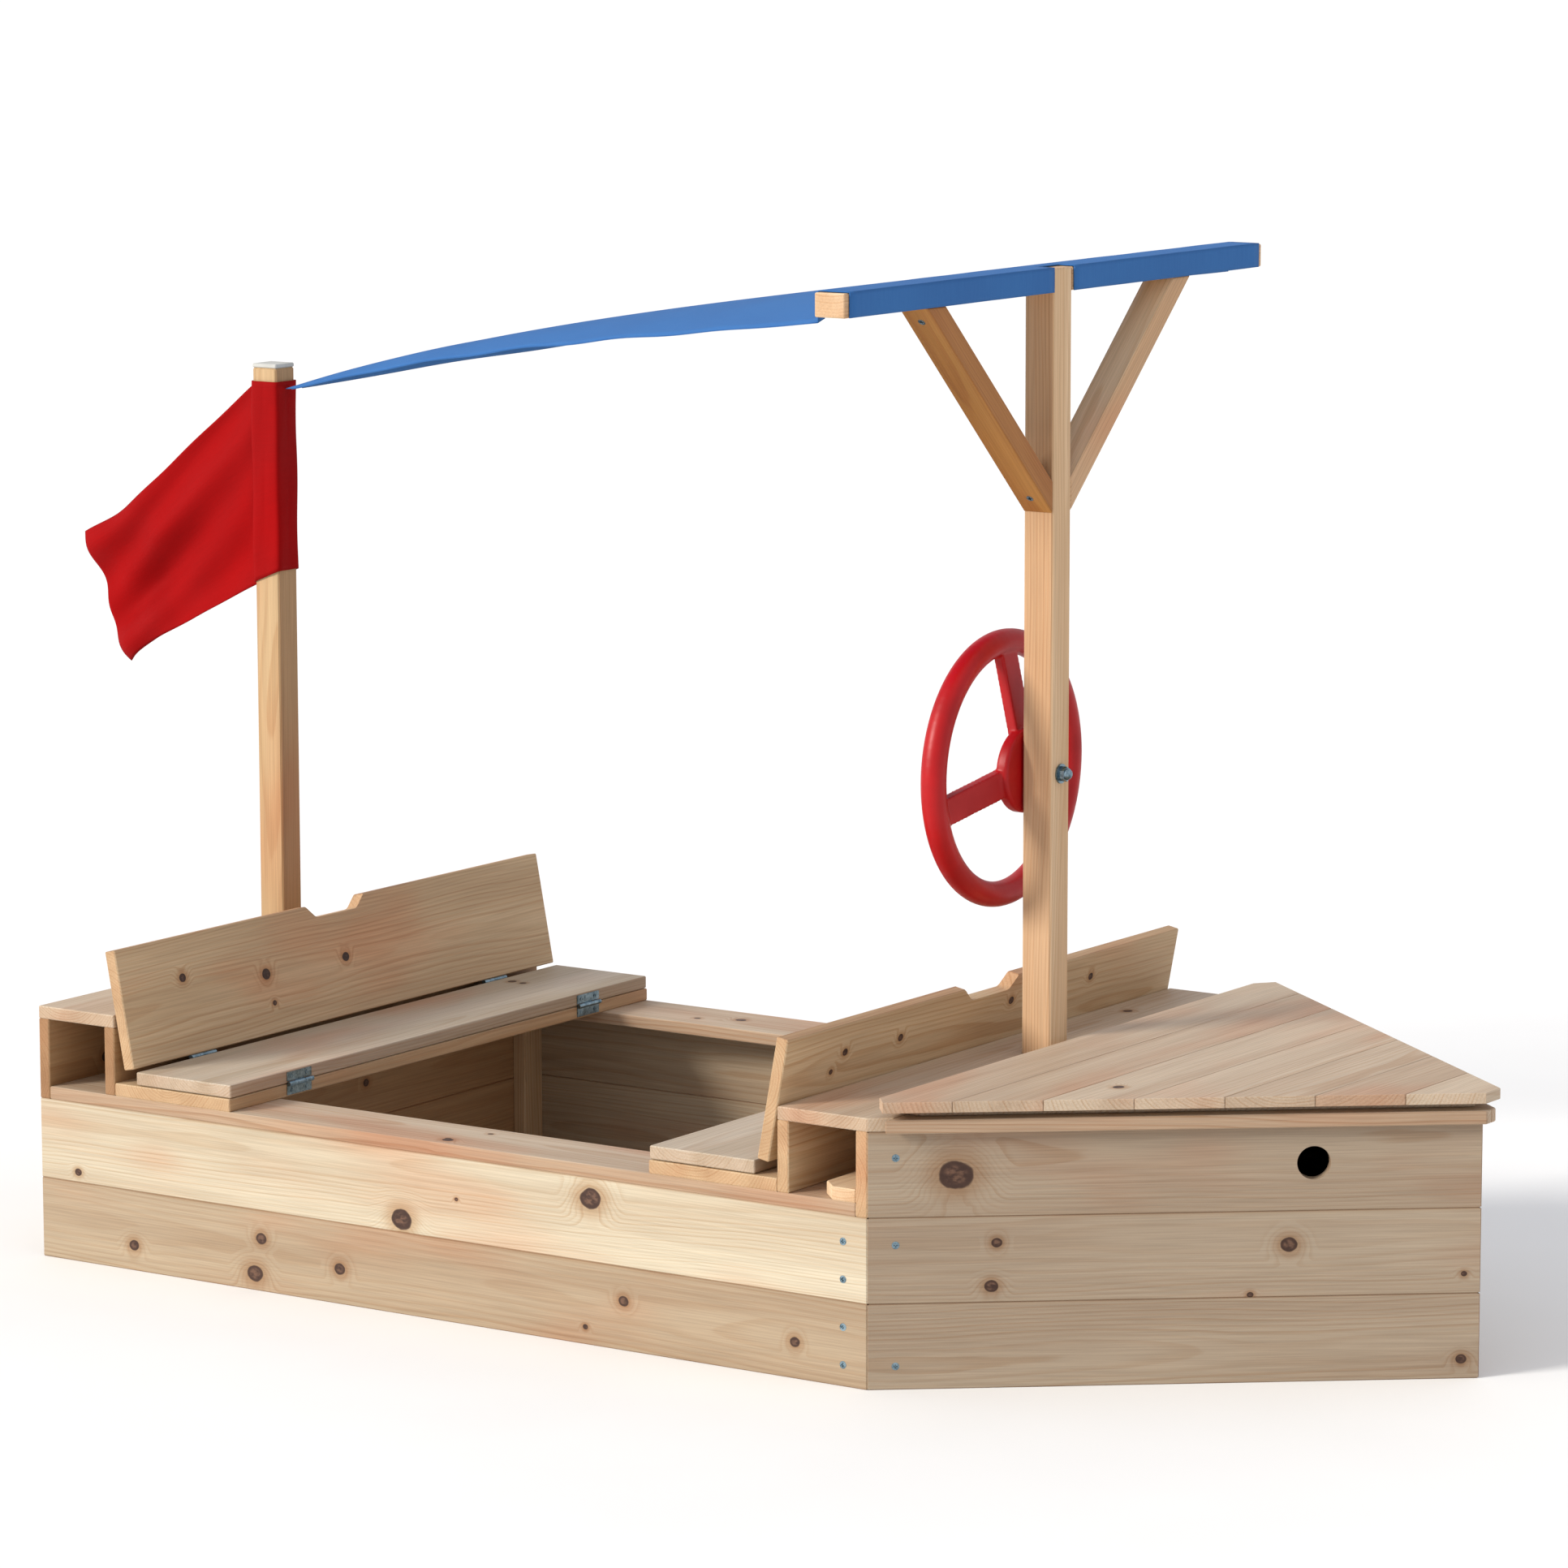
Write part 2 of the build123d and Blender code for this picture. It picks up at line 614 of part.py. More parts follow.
brace_normal = (0, math.sin(brace_tilt), -math.cos(brace_tilt))
brace_run = math.hypot(brace_reach, brace_rise)
brace_screw_places = []
for share in brace_screw_shares:
    y = half_post + brace_reach * share
    z = brace_foot_z + brace_rise * share
    brace_screw_places.append(Plane(origin=(mast_mid_x, y, z), z_dir=brace_normal))
brace_screws = [screw_at(place, roof_timber_height) for place in brace_screw_places]
brace_pilots = [screw_at(place, roof_timber_height, screw_pilot_gap) for place in brace_screw_places]
brace_pilots += [mirrored(pilot) for pilot in brace_pilots]
brace = drilled(brace, brace_pilots)
add("mast", drilled(mast, brace_pilots))
add("roof_beam", drilled(beam, brace_pilots))
add("brace_port", brace)
add("brace_starboard", mirrored(brace))
add("brace_screws", *brace_screws, *[mirrored(screw) for screw in brace_screws])

# ---- flagpole --------------------------------------------------------------
pole = board(pole_rear_x, pole_rear_x + pole_size, -half_pole, half_pole,
             pole_foot_z, pole_top_z, post_ease)
add("flagpole", pole)
add("flagpole_cap", board(pole_rear_x, pole_rear_x + pole_size, -half_pole, half_pole,
                          pole_top_z, pole_top_z + cap_thickness))

# ---- sun sail: one arched triangle with a channel over the beam -------------
pole_front_x = pole_rear_x + pole_size
sail_start_x = pole_front_x + flag_sleeve_gap + flag_cloth + sleeve_gap
channel_rear_x = mast_rear_x - sleeve_gap - sleeve_wall
sail_end_x = channel_rear_x + sleeve_wall / 2
sail_end_z = beam_top_z - canopy_thickness / 2
sail_mid = ((sail_start_x + sail_end_x) / 2, (canopy_tip_z + sail_end_z) / 2 + canopy_crown)


def sail_edge(lift):
    return ThreePointArc((sail_start_x, canopy_tip_z + lift), (sail_mid[0], sail_mid[1] + lift),
                         (sail_end_x, sail_end_z + lift))


half_sail = canopy_thickness / 2
sail_profile = sail_edge(-half_sail) + sail_edge(half_sail)
sail_profile += Line((sail_start_x, canopy_tip_z - half_sail), (sail_start_x, canopy_tip_z + half_sail))
sail_profile += Line((sail_end_x, sail_end_z - half_sail), (sail_end_x, sail_end_z + half_sail))
sail_sheet = extrude(Plane.XZ * make_face(sail_profile), beam_length, both=True)
sail_half = beam_half - canopy_side_inset
sail_plan = [
    (sail_start_x - 1, -canopy_tip_width / 2),
    (sail_end_x + 1, -sail_half),
    (sail_end_x + 1, sail_half),
    (sail_start_x - 1, canopy_tip_width / 2),
]
sail_sheet = sail_sheet & slab(sail_plan, canopy_tip_z - 100, beam_top_z + 200, ease=0)
channel = block(channel_rear_x, mast_front_x + sleeve_gap + sleeve_wall, -sail_half, sail_half,
                beam_low_z, beam_top_z + sleeve_gap + sleeve_wall)
channel -= block(mast_rear_x - sleeve_gap, mast_front_x + sleeve_gap, -beam_length, beam_length,
                 beam_low_z - 1, beam_top_z + sleeve_gap)
channel -= block(mast_mid_x, mast_front_x + post_size, -half_post - 1, half_post + 1,
                 beam_low_z - 1, beam_top_z + post_size)
add("canopy", sail_sheet + channel)

# ---- flag: a sleeve round the pole and a drooping panel ---------------------
sleeve_in = half_pole + flag_sleeve_gap
sleeve_out = sleeve_in + flag_cloth
flag_low_z = flag_top_z - flag_hoist
flag_sleeve = block(pole_mid_x - sleeve_out, pole_mid_x + sleeve_out, -sleeve_out, sleeve_out,
                    flag_low_z, flag_top_z)
flag_sleeve -= block(pole_mid_x - sleeve_in, pole_mid_x + sleeve_in, -sleeve_in, sleeve_in,
                     flag_low_z - 1, flag_top_z + 1)
hoist_x = pole_mid_x - sleeve_in - flag_cloth / 2
flag_points = [
    (hoist_x, flag_top_z),
    (flag_tail_x, flag_top_z - flag_tail_drop),
    (pole_rear_x - flag_toe_reach, flag_low_z - flag_toe_drop),
    (hoist_x, flag_low_z),
]
flag_panel = extrude(Plane.XZ * make_face(Polyline(*flag_points, close=True)), flag_cloth / 2, both=True)
add("flag", flag_sleeve + flag_panel)

# ---- steering wheel --------------------------------------------------------
hub_back_x = mast_rear_x - washer_thickness - 2 * washer_gap
hub_front_x = hub_back_x - wheel_hub_thickness
rim_x = hub_back_x - wheel_dish
axle = Pos(0, 0, wheel_axle_z)
along_x = Rot(0, 90, 0)
wheel = Pos(rim_x, 0, 0) * along_x * Torus(wheel_rim_radius, wheel_tube_radius)
hub = Pos((hub_back_x + hub_front_x) / 2, 0, 0) * along_x * Cylinder(wheel_hub_radius, wheel_hub_thickness)
hub = fillet(hub.edges(), wheel_hub_round)
boss = Pos(hub_front_x - wheel_boss_height / 2, 0, 0) * along_x
wheel = wheel + hub + boss * Cylinder(wheel_boss_radius, wheel_boss_height)
spoke_inner = wheel_hub_radius - wheel_spoke_root
spoke_front_x = hub_front_x + wheel_spoke_inset
half_spoke = wheel_spoke_thickness / 2
spoke_points = [
    (spoke_front_x, spoke_inner),
    (spoke_front_x + wheel_spoke_thickness, spoke_inner),
    (rim_x + half_spoke, wheel_rim_radius),
    (rim_x - half_spoke, wheel_rim_radius),
]
spoke = extrude(Plane.XZ * make_face(Polyline(*spoke_points, close=True)), wheel_spoke_width / 2, both=True)
for angle in wheel_spoke_angles:
    wheel = wheel + Rot(angle - 90, 0, 0) * spoke
wheel = wheel - along_x * Cylinder(bolt_radius + bolt_running_gap, 4 * hull_length)
add("steering_wheel", axle * wheel)

bolt_head_x = hub_front_x - wheel_boss_height - washer_gap
bolt_end_x = mast_front_x + washer_thickness + nut_height
bolt_length = bolt_end_x - bolt_head_x
bolt = Pos((bolt_head_x + bolt_end_x) / 2, 0, 0) * along_x * Cylinder(bolt_radius, bolt_length)
bolt_head = Pos(bolt_head_x - bolt_head_height / 2, 0, 0) * along_x
bolt = bolt + bolt_head * Cylinder(bolt_head_radius, bolt_head_height)
add("wheel_bolt", axle * bolt)


def washer(x_low):
    ring = Cylinder(washer_radius, washer_thickness)
    ring = ring - Cylinder(bolt_radius + mast_bore_gap, 2 * washer_thickness)
    return axle * Pos(x_low + washer_thickness / 2, 0, 0) * along_x * ring


add("wheel_washers", washer(mast_rear_x - washer_thickness), washer(mast_front_x))

nut_x = mast_front_x + washer_thickness
nut_outline = RegularPolygon(nut_radius, 6)
dome_nut = axle * Pos(nut_x, 0, 0) * along_x * extrude(nut_outline, nut_height)
dome_x = nut_x + nut_height - nut_dome_sink
dome = axle * Pos(dome_x, 0, 0) * Sphere(nut_radius * nut_dome_share)
dome = dome & block(dome_x, dome_x + nut_height, -nut_radius, nut_radius,
                    wheel_axle_z - nut_radius, wheel_axle_z + nut_radius)
nut_bore = axle * Pos(nut_x + nut_height / 2, 0, 0) * along_x * Cylinder(bolt_radius, nut_height)
add("wheel_dome_nut", dome_nut + dome - nut_bore)

# ---- export ----------------------------------------------------------------
os.makedirs("parts", exist_ok=True)
for name, piece in nodes.items():
    export_step(to_origin * piece, f"parts/{name}.step")
print(len(nodes), "nodes; x of the middle", round(x_middle, 3))
for label, (x, z) in (("stern seat", stern_seat_axis), ("stern back", stern_back_axis),
                      ("bow seat", bow_seat_axis), ("bow back", bow_back_axis), ("lid", lid_axis)):
    print(label, "hinge line at x", round(x - x_middle, 3), "z", round(z, 3))
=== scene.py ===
# %% [markdown]
# A boat-shaped sandbox, seen from its starboard bow. The boards, hinges, screws and posts come
# ready made, at their real size, in metres: +X is the bow, +Y is port and +Z is up.
# Here they get their finishes, and the cloth pieces and the moulded wheel get their real shapes.

# %% Load the boat
import json
import math
import random

import bmesh
import bpy
import numpy as np
from mathutils import Matrix, Vector


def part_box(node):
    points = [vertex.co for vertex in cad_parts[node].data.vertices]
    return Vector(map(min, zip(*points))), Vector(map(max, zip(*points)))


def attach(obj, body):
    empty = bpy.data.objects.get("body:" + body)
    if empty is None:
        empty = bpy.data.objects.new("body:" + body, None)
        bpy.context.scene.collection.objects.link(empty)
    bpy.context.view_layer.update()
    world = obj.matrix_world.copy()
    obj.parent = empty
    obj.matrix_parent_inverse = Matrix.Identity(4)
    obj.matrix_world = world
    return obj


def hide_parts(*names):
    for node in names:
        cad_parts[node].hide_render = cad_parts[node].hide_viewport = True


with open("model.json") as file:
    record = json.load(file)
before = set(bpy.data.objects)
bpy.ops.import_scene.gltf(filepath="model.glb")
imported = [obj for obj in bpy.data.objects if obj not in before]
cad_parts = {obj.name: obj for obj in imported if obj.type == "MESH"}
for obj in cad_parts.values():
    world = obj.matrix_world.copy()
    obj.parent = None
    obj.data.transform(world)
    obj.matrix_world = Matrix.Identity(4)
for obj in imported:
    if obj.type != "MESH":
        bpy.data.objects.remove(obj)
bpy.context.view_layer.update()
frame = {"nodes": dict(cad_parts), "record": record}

# %% [markdown]
# Millimetres are easier to read than metres for small things, so one short name converts them.
# The named lines below are read from the boat's own pieces, and everything later hangs on them.

# %% Lines of the boat
mm = 0.001


def middle(name):
    """The centre of a piece's box."""
    low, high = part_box(name)
    return (low + high) / 2


hull_low, hull_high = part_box("side_plank_starboard_lower")
bow_low, bow_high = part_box("bow_plank_starboard_lower")
mast_low, mast_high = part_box("mast")
beam_low, beam_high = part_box("roof_beam")
pole_low, pole_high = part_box("flagpole")
brace_low, brace_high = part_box("brace_port")
lean_low, lean_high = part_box("stern_back_board")
plank_height = hull_high.z - hull_low.z
board_thickness = hull_high.y - hull_low.y
bow_angle = math.atan2(bow_high.y - bow_low.y, bow_high.x - bow_low.x)
print("plank", round(plank_height / mm, 1), "mm high, bow angle", round(math.degrees(bow_angle), 2))

# %% [markdown]
# The camera stands off the starboard bow, at the height of a grown-up's eyes, with a long lens, so
# the planks run nearly parallel. The small shifts put the boat where it belongs in the square frame.

# %% Camera
camera_tilt = 9.642
camera_heading = 33.672
camera_data = bpy.data.cameras.new("camera")
camera_data.lens = 148.85
camera_data.sensor_width = 36.0
camera_data.shift_x = -0.0353
camera_data.shift_y = 0.0545
camera_data.clip_end = 200.0
camera = bpy.data.objects.new("camera", camera_data)
bpy.context.scene.collection.objects.link(camera)
camera.location = (4.208, -6.103, 1.729)
camera.rotation_euler = (math.radians(90 - camera_tilt), 0.0, math.radians(camera_heading))
bpy.context.scene.camera = camera
print("camera", round((camera.location - middle("mast")).length, 2), "m from the mast")

# %% [markdown]
# Colours are written as the hex values a paint shop would give, and one function turns them into
# the linear numbers that light adds up in.

# %% Colours


def colour(hex_value):
    """A hex sRGB colour as linear red, green, blue and alpha."""
    parts = [int(hex_value[i:i + 2], 16) / 255 for i in (0, 2, 4)]
    linear = [p / 12.92 if p <= 0.04045 else ((p + 0.055) / 1.055) ** 2.4 for p in parts]
    return (*linear, 1.0)


# %% [markdown]
# Every material is a small tree of nodes. One function fills a node's sockets, each with a plain
# value or with a link from another node's output, and another adds a node and sets its options.
# The short functions after them are the few kinds of node that the materials use again and again.

# %% Adding nodes


def fill(tree, made, inputs):
    """Fill sockets, given by name or number, with plain values or with links from outputs."""
    for name, value in inputs.items():
        if isinstance(value, bpy.types.NodeSocket):
            tree.links.new(value, made.inputs[name])
        else:
            made.inputs[name].default_value = value


def node(tree, kind, inputs, **options):
    """Add a node of this kind, set its options and fill its inputs."""
    made = tree.nodes.new(kind)
    for name, value in options.items():
        setattr(made, name, value)
    fill(tree, made, inputs)
    return made


def sums(tree, operation, *values):
    """A Math node's result."""
    return node(tree, "ShaderNodeMath", dict(enumerate(values)), operation=operation).outputs[0]


def vector_sums(tree, operation, *values, result="Vector"):
    """A Vector Math node's result: a vector, or a number when the result is Value."""
    made = node(tree, "ShaderNodeVectorMath", dict(enumerate(values)), operation=operation)
    return made.outputs[result]


def split(tree, vector):
    """The X, Y and Z of a vector, as outputs."""
    return node(tree, "ShaderNodeSeparateXYZ", {0: vector}).outputs


def places_on(tree):
    """The outputs that say where on the object, and facing which way, a point of it is."""
    return node(tree, "ShaderNodeTexCoord", {}).outputs


def blended(tree, share, first, second, way="MIX"):
    """Two colours mixed, or multiplied, by a share."""
    fields = {0: share, 6: first, 7: second}
    return node(tree, "ShaderNodeMix", fields, data_type="RGBA", blend_type=way).outputs[2]


def between(tree, value, low, high, to_low=0.0, to_high=1.0):
    """A value taken smoothly from one range to another."""
    fields = {"Value": value, "From Min": low, "From Max": high, "To Min": to_low, "To Max": to_high}
    return node(tree, "ShaderNodeMapRange", fields, interpolation_type="SMOOTHSTEP").outputs[0]


def stretched_noise(tree, point, along, across, seed, detail=2.0):
    """Noise from -0.5 to 0.5, whose features are 1/along metres long and 1/across metres wide."""
    scaled = vector_sums(tree, "MULTIPLY", point, (along, across, across))
    fields = {"Vector": scaled, "W": seed, "Scale": 1.0, "Detail": detail}
    noise = node(tree, "ShaderNodeTexNoise", fields, noise_dimensions="4D")
    return sums(tree, "SUBTRACT", noise.outputs["Fac"], 0.5)


def bumped(tree, height, strength, distance):
    """A surface direction, roughened by a height."""
    fields = {"Height": height, "Strength": strength, "Distance": distance}
    return node(tree, "ShaderNodeBump", fields).outputs[0]


def new_material(name):
    """A new material, with its tree and its Principled surface node."""
    material = bpy.data.materials.new(name)
    material.use_nodes = True
    surface = material.node_tree.nodes["Principled BSDF"]
    return material, material.node_tree, surface


def wear(obj, material):
    """Give an object one material in place of its own."""
    obj.data.materials.clear()
    obj.data.materials.append(material)


# %% [markdown]
# The boards are planed softwood with a clear oil. What the eye reads as wood is growth rings cut by
# a flat face: a tree is a set of nested cylinders, so the rings are modelled as distance from a pith
# line that passes near the board and runs slightly askew to it. The same field then gives straight
# lines at a board's sides, long arches in the middle and arcs on the sawn end, with nothing painted.
# A knot is a branch through the board: a dark round plug that the rings flow around.
# Each ring darkens slowly from its pale earlywood to its latewood, and then ends sharply.

# %% Growth rings
ring_spacing = 3.4 * mm
ring_bend = 30 * mm
ring_ripple = 2.2 * mm
fibre_width = 1.3 * mm
latewood_starts = 0.35
latewood_full = 0.86
latewood_ends = 0.90
palest_year = 0.35


def growth_rings():
    """A node group: board point, pith place and knot swell in; latewood, fibre, tone and cloud out."""
    group = bpy.data.node_groups.new("growth_rings", "ShaderNodeTree")
    for name, kind in (("Point", "Vector"), ("Across", "Float"), ("Depth", "Float"),
                       ("Drift", "Float"), ("Seed", "Float"), ("Swell", "Float")):
        group.interface.new_socket(name, in_out="INPUT", socket_type="NodeSocket" + kind)
    for name in ("Latewood", "Fibre", "Tone", "Cloud"):
        group.interface.new_socket(name, in_out="OUTPUT", socket_type="NodeSocketFloat")
    given = group.nodes.new("NodeGroupInput").outputs
    seed = given["Seed"]
    axes = split(group, given["Point"])
    bend = stretched_noise(group, given["Point"], 1.6, 9.0, seed)
    ripple = stretched_noise(group, given["Point"], 9.0, 60.0, seed)
    drifted = sums(group, "MULTIPLY_ADD", axes["X"], given["Drift"], given["Across"])
    side = sums(group, "SUBTRACT", axes["Y"], drifted)
    rise = sums(group, "ADD", axes["Z"], given["Depth"])
    side_square = sums(group, "MULTIPLY", side, side)
    rise_square = sums(group, "MULTIPLY", rise, rise)
    radius = sums(group, "SQRT", sums(group, "ADD", side_square, rise_square))
    radius = sums(group, "MULTIPLY_ADD", bend, ring_bend, radius)
    radius = sums(group, "MULTIPLY_ADD", ripple, ring_ripple, radius)
    radius = sums(group, "ADD", radius, given["Swell"])
    count = sums(group, "DIVIDE", radius, ring_spacing)
    place = sums(group, "FRACT", count)
    darkening = between(group, place, latewood_starts, latewood_full)
    ending = between(group, place, latewood_ends, 1.0, 1.0, 0.0)
    year = sums(group, "FLOOR", count)
    chance = node(group, "ShaderNodeTexWhiteNoise", {"W": year}, noise_dimensions="1D")
    strength = between(group, chance.outputs["Value"], 0.0, 1.0, palest_year, 1.0)
    latewood = sums(group, "MULTIPLY", sums(group, "MULTIPLY", darkening, ending), strength)
    fibre = stretched_noise(group, given["Point"], 11.0, 1 / fibre_width, seed, 4.0)
    tone = stretched_noise(group, given["Point"], 1.1, 22.0, seed, 3.0)
    cloud = stretched_noise(group, given["Point"], 3.2, 9.0, sums(group, "ADD", seed, 40.0), 2.0)
    results = {"Latewood": latewood, "Fibre": fibre, "Tone": tone, "Cloud": cloud}
    node(group, "NodeGroupOutput", results)
    return group


ring_group = growth_rings()
print("growth rings every", round(ring_spacing / mm, 1), "mm, fibres", round(fibre_width / mm, 1), "mm wide")

# %% [markdown]
# A board's grain runs along its length, so each board needs its own axes. Every board is measured
# along the few directions that this boat uses: the thinnest one is its face, and the longest one
# square to that is its grain. Short posts, the rim and the lid's pieces, which that would get wrong,
# are named. Across the grain counts upwards, or towards the bow or port on a flat board.

# %% The axes of a board


def lean_of(low, high, thickness):
    """How far a tilted board leans from upright, from its box and its thickness."""
    angle = 0.0
    for _ in range(30):
        wide = high.x - low.x - thickness * math.cos(angle)
        tall = high.z - low.z - thickness * math.sin(angle)
        angle = math.atan2(wide, tall)
    return angle


lean = lean_of(lean_low, lean_high, board_thickness)
brace_tilt = math.atan2(brace_high.z - brace_low.z, brace_high.y - brace_low.y)
print("backrests lean", round(math.degrees(lean), 1), "braces rise at", round(math.degrees(brace_tilt), 1))
to_bow = Vector((1, 0, 0))
to_port = Vector((0, 1, 0))
upwards = Vector((0, 0, 1))
starboard_bow_run = Vector((math.cos(bow_angle), math.sin(bow_angle), 0))
port_bow_run = Vector((math.cos(bow_angle), -math.sin(bow_angle), 0))
directions = [
    to_bow,
    to_port,
    upwards,
    starboard_bow_run,
    port_bow_run,
    Vector((math.sin(bow_angle), -math.cos(bow_angle), 0)),
    Vector((math.sin(bow_angle), math.cos(bow_angle), 0)),
    Vector((math.sin(lean), 0, -math.cos(lean))),
    Vector((math.cos(lean), 0, math.sin(lean))),
    Vector((math.sin(lean), 0, math.cos(lean))),
    Vector((math.cos(lean), 0, -math.sin(lean))),
    Vector((0, math.cos(brace_tilt), math.sin(brace_tilt))),
    Vector((0, math.cos(brace_tilt), -math.sin(brace_tilt))),
    Vector((0, math.sin(brace_tilt), -math.cos(brace_tilt))),
    Vector((0, math.sin(brace_tilt), math.cos(brace_tilt))),
]
grain_known = {
    "hull_corner_posts": (upwards, to_port),
    "bow_corner_posts": (upwards, to_port),
    "bow_tip_post": (upwards, to_bow),
    "lid_planks": (to_port, upwards),
    "lid_battens": (to_bow, upwards),
    "rim_board_starboard": (starboard_bow_run, upwards),
    "rim_board_port": (port_bow_run, upwards),
}


def board_axes(name):
    """Grain and face directions of a board, with its extent along both and across."""
    points = np.array([v.co for v in frame["nodes"][name].data.vertices])

    def extent(direction):
        places = points @ np.array(direction)
        return places.min(), places.max()

    if name in grain_known:
        grain, face = grain_known[name]
    else:
        spans = [(extent(d)[1] - extent(d)[0], i) for i, d in enumerate(directions)]
        face = directions[min(spans)[1]]
        square = [span for span in spans if abs(directions[span[1]].dot(face)) < 0.01]
        grain = directions[max(square)[1]]
    across = face.cross(grain)
    if max(across, key=abs) < 0:
        face, across = -face, -across
    return grain, across, face, [extent(d) for d in (grain, across, face)]


# %% [markdown]
# Planed, oiled larch-like softwood: creamy earlywood, tan latewood, broad warm and pale zones along
# the board, dull rather than shiny. Wood reflects like most solids, so the index is about 1.5, and
# the roughness stays near 0.6. Arrises and sawn ends are darker because they drink more oil.
# A board's point counts from its low end along the grain, from its low edge across the grain, and
# from the middle of its thickness.

# %% Softwood
knot_stretch = (0.86, 1.0, 0.0)
strip_jump = (1.7, 0.03, 0.04)
arris_width = 1.6 * mm
rose_stain = colour("FFDCCC")
late_stain = colour("E2CBB2")
halo_stain = colour("DDBFA0")
arris_stain = colour("C9A380")
knot_brown = colour("3A241A")
knot_heart = colour("664938")


def knot_field(tree, point, knots):
    """Swell, plug, halo and rim of a board's knots, from (along, up, radius) in millimetres."""
    swell, plug, halo, rim = 0.0, 0.0, 0.0, 0.0
    for along, up, radius in knots:
        size = radius * mm
        centre = (along * mm, up * mm, 0.0)
        away = vector_sums(tree, "SUBTRACT", point, centre)
        flat = vector_sums(tree, "MULTIPLY", away, knot_stretch)
        distance = vector_sums(tree, "LENGTH", flat, result="Value")
        wobble = stretched_noise(tree, point, 60.0, 60.0, along)
        distance = sums(tree, "MULTIPLY_ADD", wobble, size * 0.5, distance)
        pushed = between(tree, distance, 0.0, size * 4.0, size * 1.9, 0.0)
        inside = between(tree, distance, size * 0.92, size * 1.08, 1.0, 0.0)
        bark_in = between(tree, distance, size * 0.5, size * 0.85)
        bark_out = between(tree, distance, size * 1.0, size * 1.15, 1.0, 0.0)
        stained = between(tree, distance, size * 0.9, size * 2.8, 1.0, 0.0)
        swell = sums(tree, "ADD", swell, pushed)
        plug = sums(tree, "MAXIMUM", plug, inside)
        rim = sums(tree, "MAXIMUM", rim, sums(tree, "MULTIPLY", bark_in, bark_out))
        halo = sums(tree, "MAXIMUM", halo, stained)
    return swell, plug, halo, rim


def softwood(name, knots, tints, strips, contrast):
    """Planed softwood for one board, with the grain along it."""
    draw = random.Random(name)
    grain, across, face, spans = board_axes(name)
    material, tree, surface = new_material("oiled_softwood_" + name)
    place = places_on(tree)
    turn = Matrix((grain, across, face)).to_euler("XYZ")
    corner = (-spans[0][0], -spans[1][0], -(spans[2][0] + spans[2][1]) / 2)
    fields = {"Vector": place["Object"], "Rotation": turn, "Location": corner}
    point = node(tree, "ShaderNodeMapping", fields).outputs[0]
    width = spans[1][1] - spans[1][0]
    seed = draw.uniform(0, 90)
    tone_shift = 0.0
    if strips:
        # boards side by side in one node: each strip gets its own piece of the tree
        row = sums(tree, "FLOOR", sums(tree, "DIVIDE", split(tree, point)["Y"], strips))
        row_seed = sums(tree, "ADD", row, seed)
        throw = node(tree, "ShaderNodeTexWhiteNoise", {"W": row_seed}, noise_dimensions="1D").outputs
        jump = vector_sums(tree, "MULTIPLY", throw["Color"], strip_jump)
        point = vector_sums(tree, "ADD", point, jump)
        tone_shift = sums(tree, "MULTIPLY", sums(tree, "SUBTRACT", throw["Value"], 0.5), 0.3)
    swell, plug, halo, rim = knot_field(tree, point, knots)
    rings = node(tree, "ShaderNodeGroup", {
        "Point": point,
        "Across": width * draw.uniform(0.25, 0.75),
        "Depth": draw.uniform(22, 70) * mm,
        "Drift": draw.uniform(-0.03, 0.03),
        "Seed": seed,
        "Swell": swell,
    }, node_tree=ring_group)
    late, fibre, tone, cloud = [rings.outputs[k] for k in ("Latewood", "Fibre", "Tone", "Cloud")]
    ground = blended(tree, between(tree, sums(tree, "ADD", tone, tone_shift), -0.22, 0.22), *tints)
    ground = blended(tree, between(tree, cloud, 0.0, 0.25, 0.0, 0.8), ground, rose_stain, "MULTIPLY")
    ground = blended(tree, sums(tree, "MULTIPLY", late, contrast), ground, late_stain, "MULTIPLY")
    streak = between(tree, fibre, -0.25, 0.25, 0.86, 1.08)
    streak_colour = node(tree, "ShaderNodeCombineColor", {0: streak, 1: streak, 2: streak}).outputs[0]
    ground = blended(tree, 1.0, ground, streak_colour, "MULTIPLY")
    if knots:
        ground = blended(tree, sums(tree, "MULTIPLY", halo, 0.7), ground, halo_stain, "MULTIPLY")
        speckle = stretched_noise(tree, point, 150.0, 220.0, seed)
        heart = blended(tree, between(tree, speckle, -0.12, 0.16), knot_brown, knot_heart)
        ground = blended(tree, plug, ground, heart)
        ground = blended(tree, sums(tree, "MULTIPLY", rim, 0.9), ground, knot_brown)
    # sawn ends show their fibres' tips, so they are darker
    facing = vector_sums(tree, "DOT_PRODUCT", place["Normal"], tuple(grain), result="Value")
    end = between(tree, sums(tree, "ABSOLUTE", facing), 0.7, 0.95)
    ground = blended(tree, sums(tree, "MULTIPLY", end, 0.35), ground, arris_stain, "MULTIPLY")
    if not strips:
        # arrises: both long edges of the board
        from_middle = sums(tree, "ABSOLUTE", sums(tree, "SUBTRACT", split(tree, point)["Y"], width / 2))
        edge = between(tree, from_middle, width / 2 - arris_width, width / 2 - 0.2 * mm)
        ground = blended(tree, sums(tree, "MULTIPLY", edge, 0.45), ground, arris_stain, "MULTIPLY")
    height = sums(tree, "MULTIPLY_ADD", late, 0.5, fibre)
    fill(tree, surface, {
        "Base Color": ground,
        "Roughness": sums(tree, "MULTIPLY_ADD", late, -0.08, between(tree, fibre, -0.3, 0.3, 0.66, 0.56)),
        "IOR": 1.5,
        "Specular IOR Level": 0.35,
        "Normal": bumped(tree, height, 0.35, 0.25 * mm),
    })
    return material


